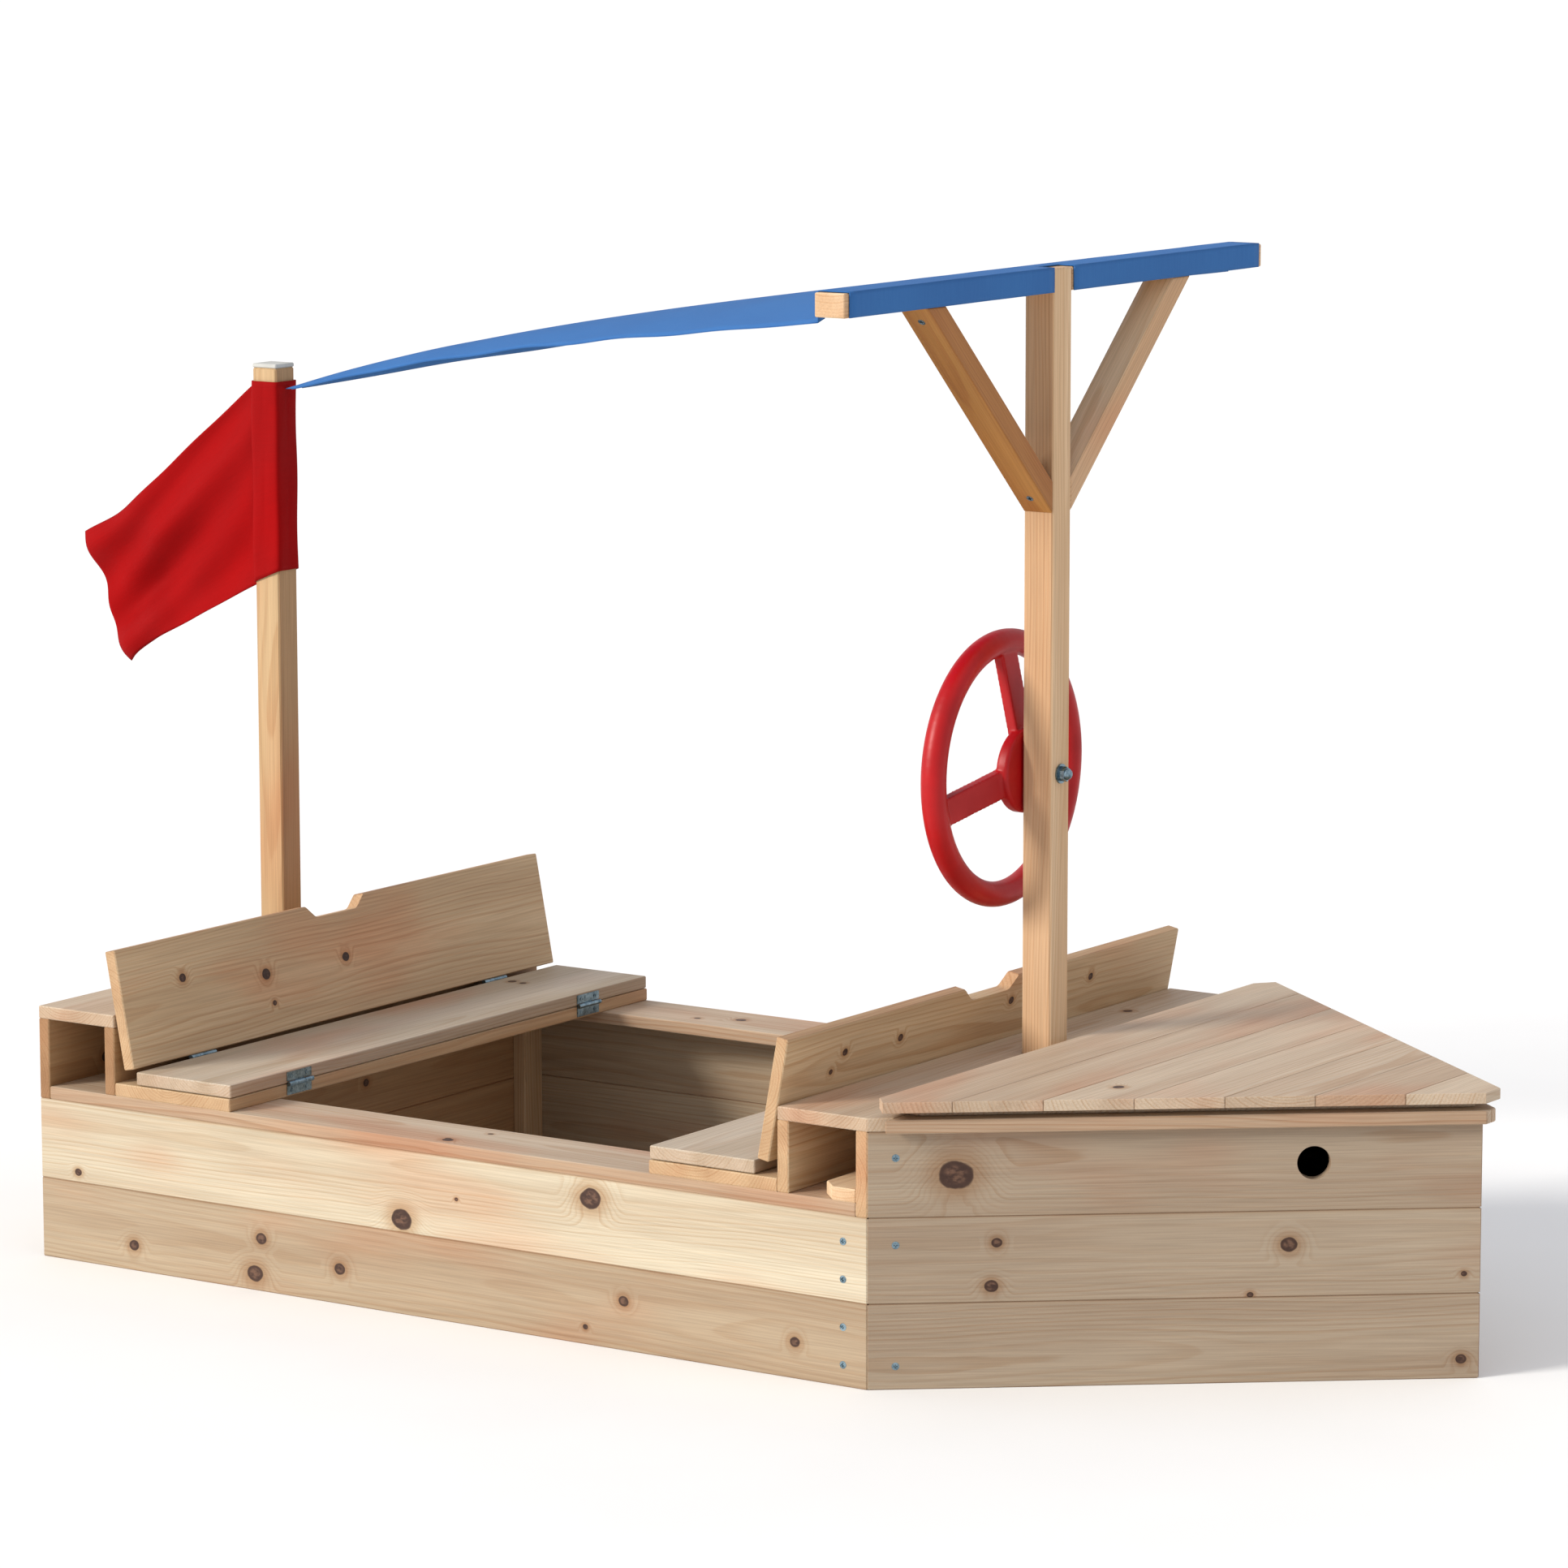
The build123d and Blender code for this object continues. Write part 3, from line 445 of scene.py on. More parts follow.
# %% [markdown]
# Knots are given board by board, in millimetres: how far along the board, how high up it, and the
# knot's radius. The sticks have an empty list, because they are clear. Boards that have no list get
# a few small knots by chance, always the same, because the draw starts from the board's name.

# %% Knots of the boards
board_knots = {
    "side_plank_starboard_upper": [(56, 12, 4), (532, 15, 11), (796, 72, 11), (610, 48, 2)],
    "side_plank_starboard_lower": [(139, 30, 6), (329, 62, 6), (319, 20, 9), (443, 41, 6.5), (840, 56, 5.5),
                                   (1069, 41, 5.5), (788, 20, 3)],
    "bow_plank_starboard_top": [(95, 47, 15)],
    "bow_plank_starboard_upper": [(140, 66, 5), (458, 58, 7.5), (134, 18, 6), (416, 3, 3), (650, 22, 3)],
    "bow_plank_starboard_lower": [(648, 22, 5)],
    "stern_back_board": [(112, 91, 5), (264, 72, 6), (417, 70, 5), (271, 36, 3)],
    "bow_back_board": [(121, 106, 4), (233, 104, 4), (98, 87, 3), (462, 110, 4), (635, 111, 4)],
    "stern_seat_board": [(703, 22, 5), (701, 40, 4)],
    "mast": [],
    "flagpole": [],
    "brace_port": [],
    "brace_starboard": [],
}
print("boards with knots of their own:", sum(1 for knots in board_knots.values() if knots))

# %% [markdown]
# The boards are given tint sets by where they stand: pale cream for the hull's upper planks, and duller
# ones below, to port and at the bow, whose dullness is painted shade. The benches get warmer ones, the
# seat boards greyer ones and the boards inside the pit brown ones, the last two painted shade. The sticks
# go from pale to amber for the mast, beam, pole and braces, and the starboard brace's amber is painted
# shadow of the sail. Each sort has a pale and a deep tint.

# %% Boards get their wood


def nodes_in_slot(slot_name):
    """The pieces that the boat's record gives this material."""
    return [row["node"] for row in frame["record"]["subparts"] if row["material_slot"] == slot_name]


wood_nodes = nodes_in_slot("planed_timber")
lid_strip = 77 * mm
knot_every = 350
tint_sets = {
    "hull": (colour("CABFA7"), colour("B8A78D")),
    # duller tints for the lower planks and the port planks: painted shade
    "foot": (colour("AC997F"), colour("9C866C")),
    # duller tints for the bow planks: painted shade on the side that the light reaches less
    "bow": (colour("A89781"), colour("98846E")),
    "bench": (colour("CDB28D"), colour("BA9C77")),
    # greyer tints for the seat boards: painted shade
    "seat": (colour("C5B7A3"), colour("B2A189")),
    "deck": (colour("C7B59D"), colour("B59E85")),
    "post": (colour("C5A77E"), colour("B2926A")),
    "mast": (colour("E0C5A2"), colour("CDAA82")),
    # the starboard brace's browner tints are painted shadow of the sail
    "sail_shadowed": (colour("B98547"), colour("A06B32")),
    # darker brown tints for the boards inside the pit and the stern box: painted shade
    "pit": (colour("AB8862"), colour("9B7752")),
}


def timber_sort(name):
    """Which of the tint sets a board is sorted into."""
    # the boards inside the pit and the stern box get darker brown tints, which are painted shade
    if name.startswith(("pit_", "bulkhead_plank", "stern_box_inner", "stern_box_rear")):
        return "pit"
    # the lower planks and the port planks get duller tints, which are painted shade
    if name.endswith(("_port_upper", "_lower")) and not name.startswith("bow"):
        return "foot"
    if name.startswith(("side_plank", "stern_plank")):
        return "hull"
    # the bow planks get duller tints, which are painted shade
    if name.startswith("bow_plank"):
        return "bow"
    if name.startswith(("mast", "roof_beam", "brace_port")):
        return "mast"
    if name.startswith("flagpole"):
        return "post"
    # the starboard brace gets browner tints, which are painted shadow of the sail
    if name.startswith("brace_starboard"):
        return "sail_shadowed"
    # the seat boards get greyer tints, which are painted shade
    if "_seat_" in name:
        return "seat"
    if name.startswith(("lid", "fore_box_top", "stern_box_top", "ledge", "rim")):
        return "deck"
    return "bench"


def chance_knots(name):
    """A few small knots for a board that has no list, about one in each knot_every millimetres."""
    draw = random.Random("knots " + name)
    _, _, _, spans = board_axes(name)
    length = (spans[0][1] - spans[0][0]) / mm
    width = (spans[1][1] - spans[1][0]) / mm
    count = round(length / knot_every)
    return [(draw.uniform(0.05, 0.95) * length, draw.uniform(0.15, 0.85) * width, draw.uniform(2.5, 6.0))
            for _ in range(count)]


for name in wood_nodes:
    sort = timber_sort(name)
    knots = board_knots[name] if name in board_knots else chance_knots(name)
    strips = lid_strip if name == "lid_planks" else None
    contrast = 0.62 if sort in ("deck", "bench") else 0.5
    wear(frame["nodes"][name], softwood(name, knots, tint_sets[sort], strips, contrast))
print("wooden nodes", len(wood_nodes))

# %% [markdown]
# Hinges, screws, the axle bolt and its nut are steel with a bright zinc plate, which has fine
# specks, and a bluish cast and faint clouds from the passivation bath. It is a metal, so the colour
# sits in the reflection, and the roughness varies with the clouds.

# %% Zinc-plated steel
zinc_speck = 2.2 * mm


def zinc_plate():
    """Blue-passivated zinc on steel."""
    material, tree, surface = new_material("zinc_plated_steel")
    place = places_on(tree)["Object"]
    specks = node(tree, "ShaderNodeTexVoronoi", {"Vector": place, "Scale": 1 / zinc_speck}).outputs
    cloud = stretched_noise(tree, place, 160.0, 160.0, 3.0, 3.0)
    mottle = sums(tree, "ADD", sums(tree, "MULTIPLY", specks["Distance"], 0.25), cloud)
    fill(tree, surface, {
        "Base Color": blended(tree, between(tree, mottle, -0.2, 0.4), colour("4E6470"), colour("93A9B4")),
        "Roughness": between(tree, cloud, -0.25, 0.25, 0.28, 0.46),
        "Metallic": 1.0,
    })
    return material


zinc = zinc_plate()
zinc_nodes = nodes_in_slot("zinc_plated_steel")
for name in zinc_nodes:
    wear(frame["nodes"][name], zinc)
print("zinc-plated nodes", len(zinc_nodes))

# %% [markdown]
# The pole's cap and the play wheel are moulded polyethylene, grey and red. The mould's fine grain
# leaves the cap matt, and the wheel, which hands rub, has a little more shine.

# %% Moulded plastics


def moulded_plastic(name, tone, dark_tone, low_roughness, high_roughness, grit):
    """A moulded plastic with a fine mould grain and slight scuffing."""
    material, tree, surface = new_material(name)
    place = places_on(tree)["Object"]
    scuff = stretched_noise(tree, place, 22.0, 22.0, 7.0, 4.0)
    grain = stretched_noise(tree, place, 1 / grit, 1 / grit, 1.0, 2.0)
    fill(tree, surface, {
        "Base Color": blended(tree, between(tree, scuff, -0.25, 0.25), tone, dark_tone),
        "Roughness": between(tree, scuff, -0.25, 0.25, low_roughness, high_roughness),
        "IOR": 1.51,
        "Specular IOR Level": 0.3,
        "Normal": bumped(tree, grain, 0.25, 0.12 * mm),
    })
    return material


cap_plastic = moulded_plastic("grey_polyethylene", colour("C9C9C4"), colour("B4B4AE"), 0.5, 0.65, 0.8 * mm)
wheel_plastic = moulded_plastic("red_polyethylene", colour("B2070D"), colour("A0060B"), 0.34, 0.5, 0.9 * mm)
wear(frame["nodes"]["flagpole_cap"], cap_plastic)

# %% [markdown]
# The play steering wheel is one moulding: a round grip, three channel-shaped spokes that slope back
# to a stepped hub, and a bored boss for the axle bolt. It is built from simple closed bodies, and a
# voxel remesh then melts them into one skin with the small fillets that a moulding has.

# %% Helpers for turned and swept bodies


def object_from(name, mesh_builder, material, body):
    """Make an object from a bmesh, give it its finish and let it ride on a body."""
    mesh = bpy.data.meshes.new(name)
    mesh_builder.to_mesh(mesh)
    mesh_builder.free()
    made = bpy.data.objects.new(name, mesh)
    bpy.context.scene.collection.objects.link(made)
    mesh.materials.append(material)
    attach(made, body)
    return made


def grid_faces(builder, rows, close_rows=False, close_columns=False):
    """Join rows of points into a skin of quads."""
    made = [[builder.verts.new(p) for p in row] for row in rows]
    row_count = len(made) if close_rows else len(made) - 1
    for i in range(row_count):
        row, following = made[i], made[(i + 1) % len(made)]
        column_count = len(row) if close_columns else len(row) - 1
        for j in range(column_count):
            k = (j + 1) % len(row)
            builder.faces.new((row[j], row[k], following[k], following[j]))
    return made


def turned_body(builder, profile, axle, steps=96):
    """A closed body turned about a line along X, from (x, radius) points."""
    rows = []
    for i in range(steps):
        angle = 2 * math.pi * i / steps
        cosine, sine = math.cos(angle), math.sin(angle)
        rows.append([(x, axle[1] + r * cosine, axle[2] + r * sine) for x, r in profile])
    grid_faces(builder, rows, close_rows=True, close_columns=True)


# %% The steering wheel
wheel_low, wheel_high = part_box("steering_wheel")
axle = (0.0, (wheel_low.y + wheel_high.y) / 2, (wheel_low.z + wheel_high.z) / 2)
grip_radius = 14.5 * mm
rim_radius = (wheel_high.z - wheel_low.z) / 2 - grip_radius
rim_x = wheel_low.x + grip_radius
hub_back = wheel_high.x
hub_front = hub_back - 20 * mm
hub_radius = 48 * mm
hub_step = 3.5 * mm
bore_radius = 5.3 * mm
boss_radius = 20 * mm
boss_height = 4.8 * mm
spoke_width = 32 * mm
spoke_wall = 4.5 * mm
spoke_depth = 13 * mm
spoke_angles = (90, 195, 345)
spoke_in_hub = 10 * mm
spoke_in_grip = 3 * mm
spoke_below_hub = 1.5 * mm
spoke_before_rim = 5.5 * mm
bridge_length = 24 * mm
wheel_voxel = 1.5 * mm


def wheel_rim_profile(points=28):
    """The grip's round section."""
    turns = [2 * math.pi * i / points for i in range(points)]
    return [(rim_x + grip_radius * math.cos(t), rim_radius + grip_radius * math.sin(t)) for t in turns]


def hub_profile():
    """The stepped hub with its bore, from the back face round to the front."""
    return [
        # the back face and the outer wall, with a bevel at each of its ends
        (hub_back, bore_radius),
        (hub_back, hub_radius - 3 * mm),
        (hub_back - 2 * mm, hub_radius),
        (hub_front + 6 * mm, hub_radius),
        # a step, then the flat front
        (hub_front + hub_step, hub_radius - 4 * mm),
        (hub_front + hub_step, hub_radius - 12 * mm),
        (hub_front, hub_radius - 15 * mm),
        (hub_front, boss_radius + 3 * mm),
        # a groove, then the boss
        (hub_front + 2 * mm, boss_radius + 1 * mm),
        (hub_front - 3.4 * mm, boss_radius),
        (hub_front - boss_height, boss_radius - 2 * mm),
        (hub_front - boss_height, bore_radius),
    ]


def slanted_block(builder, angle, side_low, side_high, inner, outer):
    """A straight bar from the hub to the grip: inner and outer are (x low, x high, radius)."""
    turn = Matrix.Rotation(math.radians(angle - 90), 3, "X")
    rows = []
    for x_low, x_high, radius in (inner, outer):
        ring = [(x_low, side_low, radius), (x_high, side_low, radius), (x_high, side_high, radius),
                (x_low, side_high, radius)]
        rows.append([Vector((0, axle[1], axle[2])) + turn @ Vector(p) for p in ring])
    made = grid_faces(builder, rows, close_columns=True)
    builder.faces.new(made[0])
    builder.faces.new(list(reversed(made[1])))


def steering_wheel():
    """The whole moulding as one skin."""
    builder = bmesh.new()
    turned_body(builder, wheel_rim_profile(), axle)
    turned_body(builder, hub_profile(), axle)
    inner_radius = hub_radius - spoke_in_hub
    outer_radius = rim_radius - spoke_in_grip
    inner_x = hub_front + spoke_below_hub
    outer_x = rim_x - spoke_before_rim
    slope = (outer_x - inner_x) / (outer_radius - inner_radius)
    bridge_radius = outer_radius - bridge_length
    bridge_x = inner_x + slope * (bridge_radius - inner_radius)
    inner_end = (inner_x, inner_x + spoke_depth, inner_radius)
    bridge_end = (bridge_x, bridge_x + spoke_depth, bridge_radius)
    outer_end = (outer_x, outer_x + spoke_depth, outer_radius)
    inner_web = (inner_x + spoke_depth - spoke_wall, inner_x + spoke_depth, inner_radius)
    outer_web = (outer_x + spoke_depth - spoke_wall, outer_x + spoke_depth, outer_radius)
    half = spoke_width / 2
    for angle in spoke_angles:
        # the channel's back, its two walls, and the block that closes it at the grip
        slanted_block(builder, angle, -half, half, inner_web, outer_web)
        slanted_block(builder, angle, -half, spoke_wall - half, inner_end, outer_end)
        slanted_block(builder, angle, half - spoke_wall, half, inner_end, outer_end)
        slanted_block(builder, angle, -half, half, bridge_end, outer_end)
    bmesh.ops.recalc_face_normals(builder, faces=builder.faces)
    wheel = object_from("play_wheel", builder, wheel_plastic, "wheel")
    melt = wheel.modifiers.new("melt", "REMESH")
    melt.mode = "VOXEL"
    melt.voxel_size = wheel_voxel
    melt.use_smooth_shade = True
    ease = wheel.modifiers.new("ease", "SMOOTH")
    ease.factor = 0.5
    ease.iterations = 3
    evaluated = wheel.evaluated_get(bpy.context.evaluated_depsgraph_get())
    final = bpy.data.meshes.new_from_object(evaluated)
    wheel.modifiers.clear()
    wheel.data = final
    final.shade_smooth()
    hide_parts("steering_wheel")
    return wheel


wheel = steering_wheel()
print("wheel", round(2 * (rim_radius + grip_radius) / mm), "mm across,", len(wheel.data.polygons), "faces")

# %% [markdown]
# Both cloths are plain-woven polyester. A thread is about a third of a millimetre, too fine to show
# from here, so the weave is drawn at three times that. Threads that cross at right angles are two
# sets of waves. The cloth is dull, and the sail's has a faint sheen where it turns from the eye.

# %% Woven polyester
thread = 0.35 * mm
drawn_thread = 3 * thread


def woven_polyester(name, tone, deep_tone, sheen):
    """Plain-woven cloth, slightly uneven in tone, from the cloth's own flat coordinates in metres."""
    material, tree, surface = new_material(name)
    flat = node(tree, "ShaderNodeUVMap", {}, uv_map="cloth").outputs[0]
    axes = split(tree, flat)
    turns = [sums(tree, "MULTIPLY", axes[k], 2 * math.pi / drawn_thread) for k in ("X", "Y")]
    weave = sums(tree, "MULTIPLY", *[sums(tree, "SINE", turn) for turn in turns])
    slub = stretched_noise(tree, flat, 30.0, 400.0, 5.0, 3.0)
    patch = stretched_noise(tree, flat, 7.0, 7.0, 11.0, 3.0)
    uneven = sums(tree, "ADD", sums(tree, "MULTIPLY", slub, 0.5), patch)
    shade = sums(tree, "ADD", sums(tree, "MULTIPLY", weave, 0.14), uneven)
    fill(tree, surface, {
        "Base Color": blended(tree, between(tree, shade, -0.45, 0.45), deep_tone, tone),
        "Roughness": between(tree, patch, -0.3, 0.3, 0.72, 0.86),
        "IOR": 1.5,
        "Specular IOR Level": 0.10,
        "Sheen Weight": sheen,
        "Sheen Roughness": 0.4,
        "Sheen Tint": colour("8FB0E0"),
        "Normal": bumped(tree, weave, 0.3, 0.15 * mm),
    })
    return material


sail_cloth = woven_polyester("blue_sailcloth", colour("3C6EA8"), colour("33629C"), 0.08)
flag_cloth = woven_polyester("red_flag_cloth", colour("9C0204"), colour("880103"), 0.0)

# %% [markdown]
# A cloth piece here is a grid of points with flat coordinates kept beside them, so the weave follows
# the cut. A thin solid is grown from it, and long narrow strips along the edges are the turned hems.

# %% Making a cloth


def cloth_object(name, place, us, vs, cut_size, material, thickness, keep=None):
    """A sheet through place(u, v), with its flat coordinates, grown to a thickness."""
    builder = bmesh.new()
    flat_layer = builder.loops.layers.uv.new("cloth")
    points = [[builder.verts.new(place(u, v)) for v in vs] for u in us]
    for i in range(len(us) - 1):
        for j in range(len(vs) - 1):
            if keep and not keep((us[i] + us[i + 1]) / 2, (vs[j] + vs[j + 1]) / 2):
                continue
            corners = ((i, j), (i + 1, j), (i + 1, j + 1), (i, j + 1))
            face = builder.faces.new([points[m][n] for m, n in corners])
            for loop, (m, n) in zip(face.loops, corners):
                loop[flat_layer].uv = (us[m] * cut_size[0], vs[n] * cut_size[1])
            face.smooth = True
    loose = [v for v in builder.verts if not v.link_faces]
    bmesh.ops.delete(builder, geom=loose, context="VERTS")
    bmesh.ops.recalc_face_normals(builder, faces=builder.faces)
    made = object_from(name, builder, material, "hull")
    grow = made.modifiers.new("grow", "SOLIDIFY")
    grow.thickness = thickness
    grow.offset = 0.0
    return made


def evenly(start, end, count):
    """Evenly spaced values, both ends included."""
    return [start + (end - start) * i / (count - 1) for i in range(count)]


# %% [markdown]
# The sun sail is a triangle pulled tight between the pole's top and the beam. It bellies up a little
# along its length, and its two free edges, with nothing to hold them, droop like a shallow vault.
# At the beam it turns over the top and down the bow side in one sewn channel, which is cut away
# where the mast is lapped into the beam.

# %% The sun sail
sail_low, sail_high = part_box("canopy")
tip = Vector((sail_low.x + 1 * mm, 0.0, sail_low.z + 1.5 * mm))
sail_half = (sail_high.y - sail_low.y) / 2
sail_thickness = 1.1 * mm
sail_gap = 1.2 * mm
sail_crown = 18 * mm
sail_skew = 1.5
sail_drop = 33 * mm
sail_pull = 1.8 * mm
sail_flutter = 1.2 * mm
channel_ripple = 0.5 * mm
beam_clearance = 0.4 * mm
over_rear = Vector((beam_low.x - sail_gap, 0.0, beam_high.z + sail_gap))
front_x = beam_high.x + sail_gap
span_length = (over_rear - tip).length
turn_length = front_x - over_rear.x
drop_length = beam_high.z - beam_low.z + sail_gap
sail_length = span_length + turn_length + drop_length
post_half = (mast_high.y - mast_low.y) / 2 + 1.5 * mm
tip_half = 5 * mm
print("sail", round(sail_length / mm), "mm long, channel", round((turn_length + drop_length) / mm), "mm")


def sail_point(u, v):
    """u runs from the tip at 0 over the beam to the channel's lower edge at 1; v is -1 to 1 across."""
    run = u * sail_length
    if run <= span_length:
        share = run / span_length
        half = tip_half + (sail_half - tip_half) * share
        base = tip.lerp(over_rear, share)
        belly = sail_crown * 4 * share * (1 - share) * (sail_skew - share)
        belly -= sail_drop * share ** 0.6 * v ** 4
        pull = sail_pull * math.sin(9 * v + 2.0) * math.sin(math.pi * share) * (1 - share)
        flutter = sail_flutter * math.sin(34 * share + 2.0 * v) * v ** 4 * math.sin(math.pi * share)
        return Vector((base.x, v * half, base.z + belly + pull + flutter))
    ripple = channel_ripple * math.sin(23 * v + 1.0)
    if run <= span_length + turn_length:
        return Vector((over_rear.x + run - span_length, v * sail_half, over_rear.z + 0.2 * ripple))
    down = run - span_length - turn_length
    return Vector((front_x + 0.6 * ripple * down / drop_length, v * sail_half, over_rear.z - down))


def beside_mast(u, v):
    """The channel is cut away round the mast."""
    return u * sail_length < span_length + turn_length / 2 or abs(v) * sail_half > post_half


span_end = span_length / sail_length
turn_start = (span_length + beam_clearance) / sail_length
turn_end = (span_length + turn_length) / sail_length
span_us = evenly(0, span_end, 73)
turn_us = evenly(turn_start, turn_end, 9)
drop_us = evenly(turn_end, 1, 7)[1:]
notch_v = post_half / sail_half
side_vs = evenly(notch_v, 1, 31)
across_vs = [-v for v in reversed(side_vs)] + evenly(-notch_v, notch_v, 5)[1:-1] + side_vs
sail = cloth_object("sun_sail", sail_point, span_us + turn_us + drop_us, across_vs,
                    (sail_length, sail_half), sail_cloth, sail_thickness, beside_mast)
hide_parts("canopy")

# %% [markdown]
# The sail's two free edges are turned under and sewn down, so there the cloth is twice as thick and
# shows as a band from below. A third band, just behind the beam, is the seam that runs right across
# the sail.

# %% Hems of the sail
hem_width = 14 * mm
hem_drop = Vector((0, 0, -0.9 * mm))
hem_thickness = 0.8 * mm
hem_start = 0.012
seam_setback = 26 * mm
seam_width = 16 * mm
seam_share = 0.992


def hem_strip(name, side):
    """A band just inside one free edge of the sail."""
    def place(u, v):
        half = tip_half + (sail_half - tip_half) * u * sail_length / span_length
        inset = min(hem_width, half) / half
        return sail_point(u, side * (1 - inset * v)) + hem_drop
    us = evenly(hem_start, span_end, 73)
    return cloth_object(name, place, us, evenly(0, 1, 4), (sail_length, hem_width), sail_cloth,
                        hem_thickness)


def channel_seam(name):
    """The doubled band across the sail, just behind the beam."""
    def place(u, v):
        run = span_length - seam_setback + u * seam_width
        return sail_point(run / sail_length, v * seam_share) + hem_drop
    return cloth_object(name, place, evenly(0, 1, 3), evenly(-1, 1, 61), (seam_width, sail_half),
                        sail_cloth, hem_thickness)


hems = [
    hem_strip("sail_hem_port", 1),
    hem_strip("sail_hem_starboard", -1),
    channel_seam("sail_channel_seam"),
]

# %% [markdown]
# The flag hangs from a sleeve sewn round the square pole. It is a light cloth with little wind in it,
# so its fly end sags and it falls in slanting folds. Its outline is given by a few corner and edge
# points in the plane of the pole, and folds push the cloth out of that plane where it is slack.

# %% The flag
flag_thickness = 0.7 * mm
flag_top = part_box("flag")[1].z
pole_mid = middle("flagpole")
pole_half = (pole_high.x - pole_low.x) / 2
sleeve_half = pole_half + 1.8 * mm
hoist = 228 * mm
fly = 350 * mm
hoist_x = pole_mid.x - sleeve_half
hoist_top = flag_top - 1 * mm


def through(points, share):
    """A smooth curve through points, by Catmull-Rom, at a share of its length in points."""
    last = len(points) - 1
    place = min(max(share, 0.0), 1.0) * last
    i = min(int(place), last - 1)
    t = place - i
    p1, p2 = np.array(points[i]), np.array(points[i + 1])
    p0 = np.array(points[i - 1]) if i > 0 else 2 * p1 - p2
    p3 = np.array(points[i + 2]) if i + 2 <= last else 2 * p2 - p1
    return 0.5 * (2 * p1 + (p2 - p0) * t + (2 * p0 - 5 * p1 + 4 * p2 - p3) * t * t
                  + (3 * p1 - p0 - 3 * p2 + p3) * t ** 3)


# the hanging panel's outline: millimetres back from the sleeve and down from its top
upper_edge = [(0, 0), (22, 12), (90, 66), (165, 128), (222, 172), (286, 203)]
fly_edge = [(286, 203), (274, 235), (262, 268), (250, 300), (234, 328), (212, 358)]
foot_edge = [(0, 244), (38, 262), (90, 288), (140, 313), (180, 334), (212, 358)]
hoist_edge = [(0, 0), (0, 81), (0, 163), (0, 244)]
# how far its folds and its fly end stand out of the pole's plane, in millimetres too
wide_fold = 25
narrow_fold = 11
fine_ripple = 2.2
fly_drift = 10


def flag_flat(u, v):
    """Coons patch: back and down, in millimetres, from the four edges."""
    top, foot = through(upper_edge, u), through(foot_edge, u)
    near, far = through(hoist_edge, v), through(fly_edge, v)
    corners = ((1 - u) * (1 - v) * np.array(upper_edge[0]) + u * (1 - v) * np.array(upper_edge[-1])
               + (1 - u) * v * np.array(foot_edge[0]) + u * v * np.array(foot_edge[-1]))
    return (1 - v) * top + v * foot + (1 - u) * near + u * far - corners


def flag_point(u, v):
    """A point of the hanging panel, with slanting folds, deepest two thirds of the way to the fly."""
    back, down = flag_flat(u, v)
    slack = u ** 0.8 * (1 - 0.62 * u * u)
    fold = wide_fold * math.sin(2 * math.pi * (1.25 * v + 0.55 * u) + 0.6) * slack * (0.5 + 0.5 * v)
    fold += narrow_fold * math.sin(2 * math.pi * (2.5 * v - 0.9 * u) + 1.9) * slack
    fold += fine_ripple * math.sin(2 * math.pi * (3.9 * u + 1.2 * v)) * u
    drift = fly_drift * u * u
    return Vector((hoist_x - back * mm, pole_mid.y + (fold + drift) * mm, hoist_top - down * mm))


flag = cloth_object("flag_panel", flag_point, evenly(0, 1, 81), evenly(0, 1, 57), (fly, hoist),
                    flag_cloth, flag_thickness)
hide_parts("flag")

# %% The flag's sleeve and hems
sleeve_slope = 16 * mm
sleeve_slack = 0.6 * mm
corner_power = 9
flag_hem_width = 9 * mm
edge_hem_share = 0.045
fly_hem_share = 0.03


def sleeve_point(u, v):
    """Round the pole: u goes once round a square with soft corners, v from top to foot."""
    angle = 2 * math.pi * u + math.pi
    cosine, sine = math.cos(angle), math.sin(angle)
    square = (abs(cosine) ** corner_power + abs(sine) ** corner_power) ** (-1 / corner_power)
    slack = sleeve_slack * (1 + math.sin(11 * v + 3 * angle)) * abs(math.sin(2 * angle))
    reach = sleeve_half * square + slack
    drop = hoist + sleeve_slope * (1 - reach * cosine / sleeve_half) / 2
    return Vector((pole_mid.x + reach * cosine, pole_mid.y + reach * sine, hoist_top - v * drop))


sleeve = cloth_object("flag_sleeve", sleeve_point, evenly(0, 1, 97), evenly(0, 1, 41),
                      (8 * sleeve_half, hoist), flag_cloth, flag_thickness)


def flag_hem(name, length, on_panel):
    """A doubled band along one edge; on_panel turns its own u and v into the panel's."""
    def place(u, v):
        return flag_point(*on_panel(u, v)) + Vector((0, flag_thickness, 0))
    return cloth_object(name, place, evenly(0.01, 1, 81), evenly(0, 1, 4), (length, flag_hem_width),
                        flag_cloth, flag_thickness)


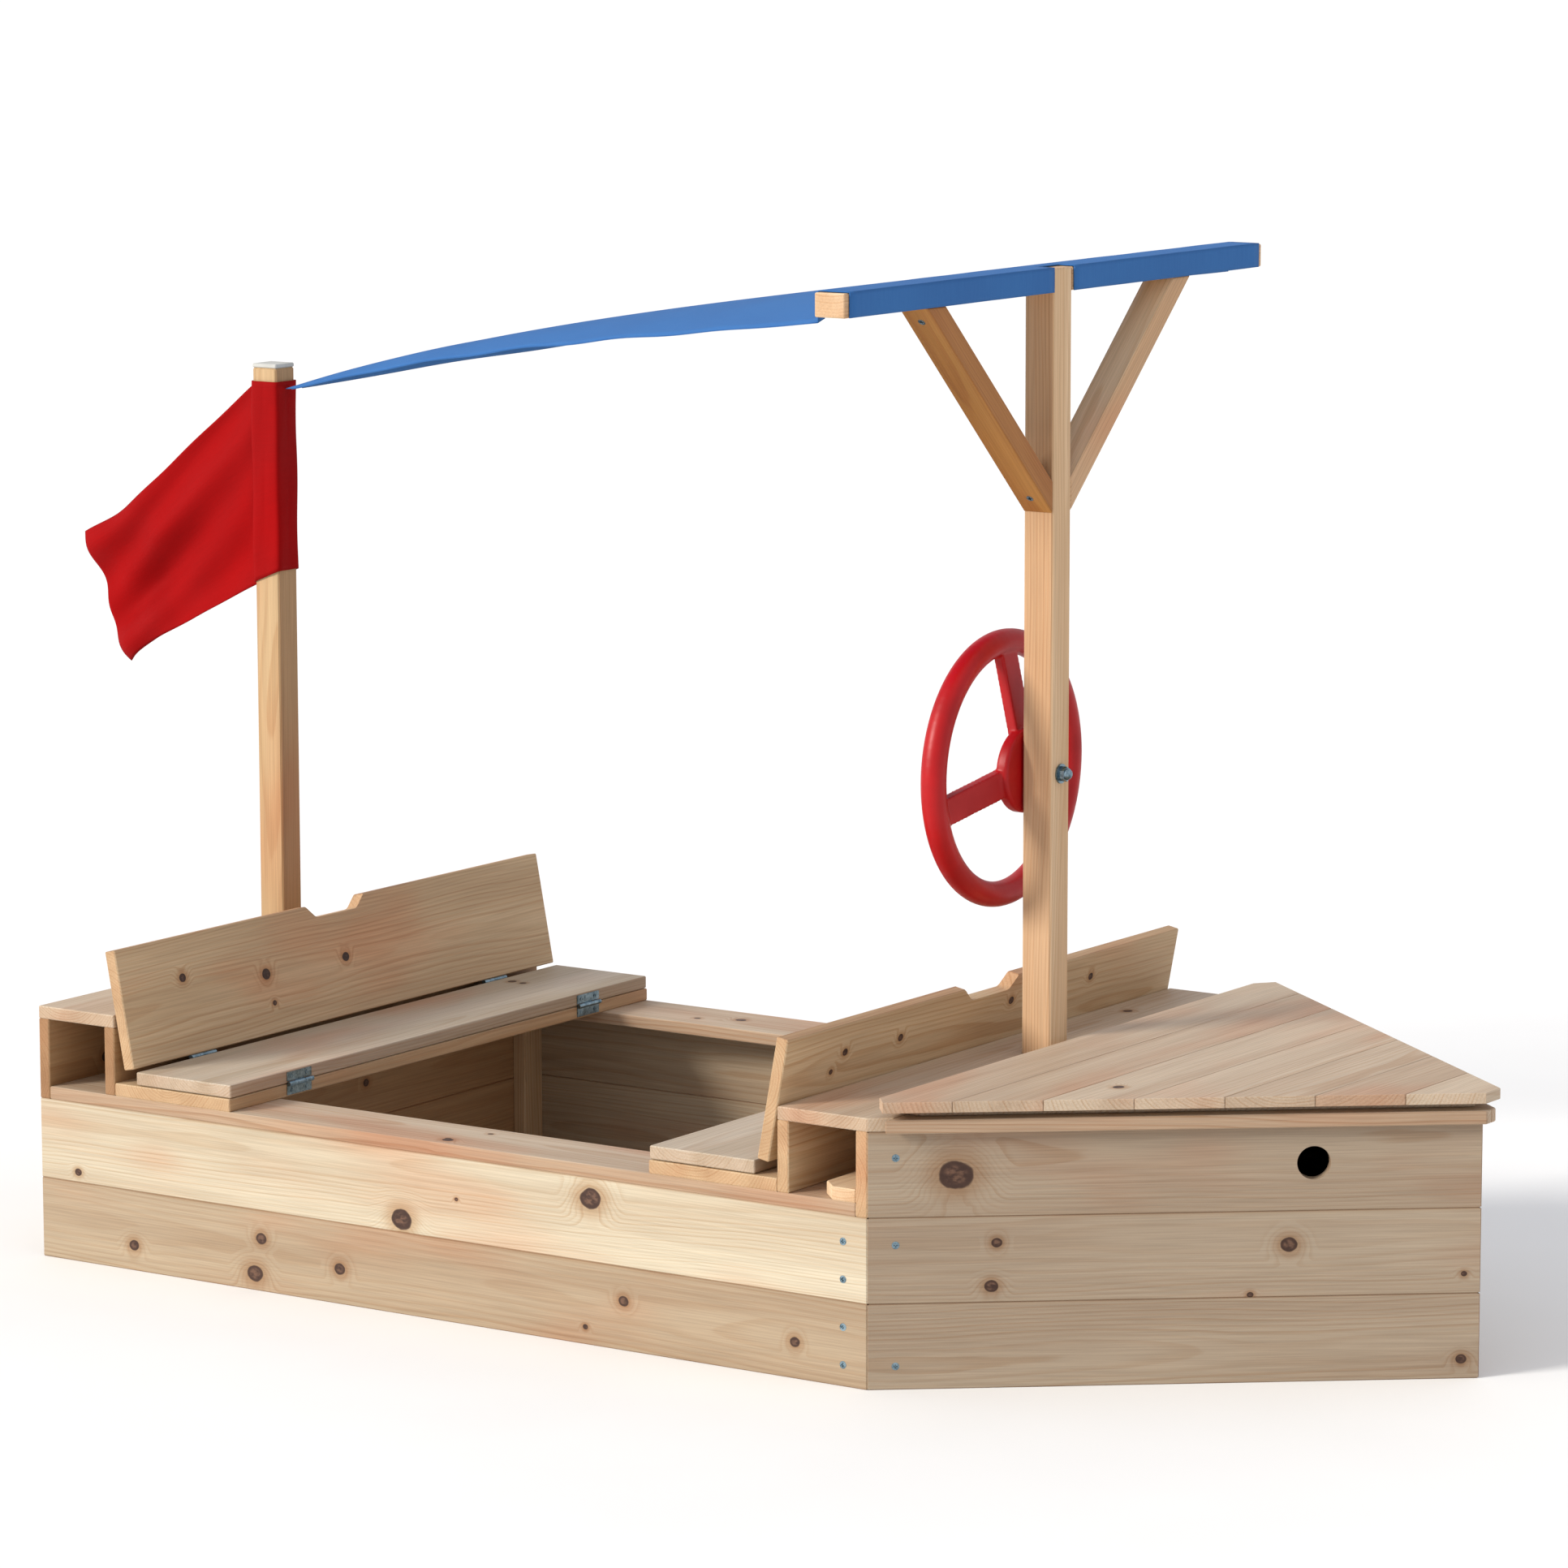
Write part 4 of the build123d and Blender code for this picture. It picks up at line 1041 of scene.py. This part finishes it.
flag_hems = [
    flag_hem("flag_hem_top", fly, lambda u, v: (u, v * edge_hem_share)),
    flag_hem("flag_hem_foot", fly, lambda u, v: (u, 1 - v * edge_hem_share)),
    flag_hem("flag_hem_fly", hoist, lambda u, v: (1 - v * fly_hem_share, u)),
]
print("flag", round(hoist / mm), "by", round(fly / mm), "mm")

# %% [markdown]
# A studio floor: one very wide pale disc, and an even pale surround. A soft low sun stands off the
# starboard quarter, so the hull's side is bright, the tops are less so, and the faces that look
# straight to the bow only get the surround.

# %% Floor and light
floor_radius = 60.0


def studio_floor():
    """A wide disc of pale card, with the faintest unevenness."""
    builder = bmesh.new()
    bmesh.ops.create_circle(builder, cap_ends=True, segments=96, radius=floor_radius)
    mesh = bpy.data.meshes.new("floor")
    builder.to_mesh(mesh)
    builder.free()
    floor = bpy.data.objects.new("floor", mesh)
    bpy.context.scene.collection.objects.link(floor)
    material, tree, surface = new_material("pale_card")
    speck = stretched_noise(tree, places_on(tree)["Object"], 3.0, 3.0, 2.0)
    tone = blended(tree, between(tree, speck, -0.3, 0.3), colour("F1F1EF"), colour("F4F4F2"))
    fill(tree, surface, {"Base Color": tone, "Roughness": 0.9})
    mesh.materials.append(material)


def low_sun(toward, strength, spread, tone):
    """A sun standing toward a direction, soft because its disc is spread degrees wide."""
    lamp = bpy.data.lights.new("low_sun", "SUN")
    lamp.energy = strength
    lamp.angle = math.radians(spread)
    lamp.color = colour(tone)[:3]
    holder = bpy.data.objects.new("low_sun", lamp)
    holder.rotation_euler = Vector(toward).to_track_quat("Z", "Y").to_euler()
    holder.location = (0, 0, 3)
    bpy.context.scene.collection.objects.link(holder)


def surround(strength, tone):
    """An even pale studio all round."""
    world = bpy.data.worlds.new("surround")
    world.use_nodes = True
    background = world.node_tree.nodes["Background"]
    background.inputs["Color"].default_value = colour(tone)
    background.inputs["Strength"].default_value = strength
    bpy.context.scene.world = world


studio_floor()
low_sun(toward=(-0.47, -0.77, 0.43), strength=3.2, spread=18, tone="FFFAF3")
surround(strength=0.8, tone="F8F9FF")
bpy.context.scene.view_settings.view_transform = "Standard"
bpy.context.scene.view_settings.look = "None"
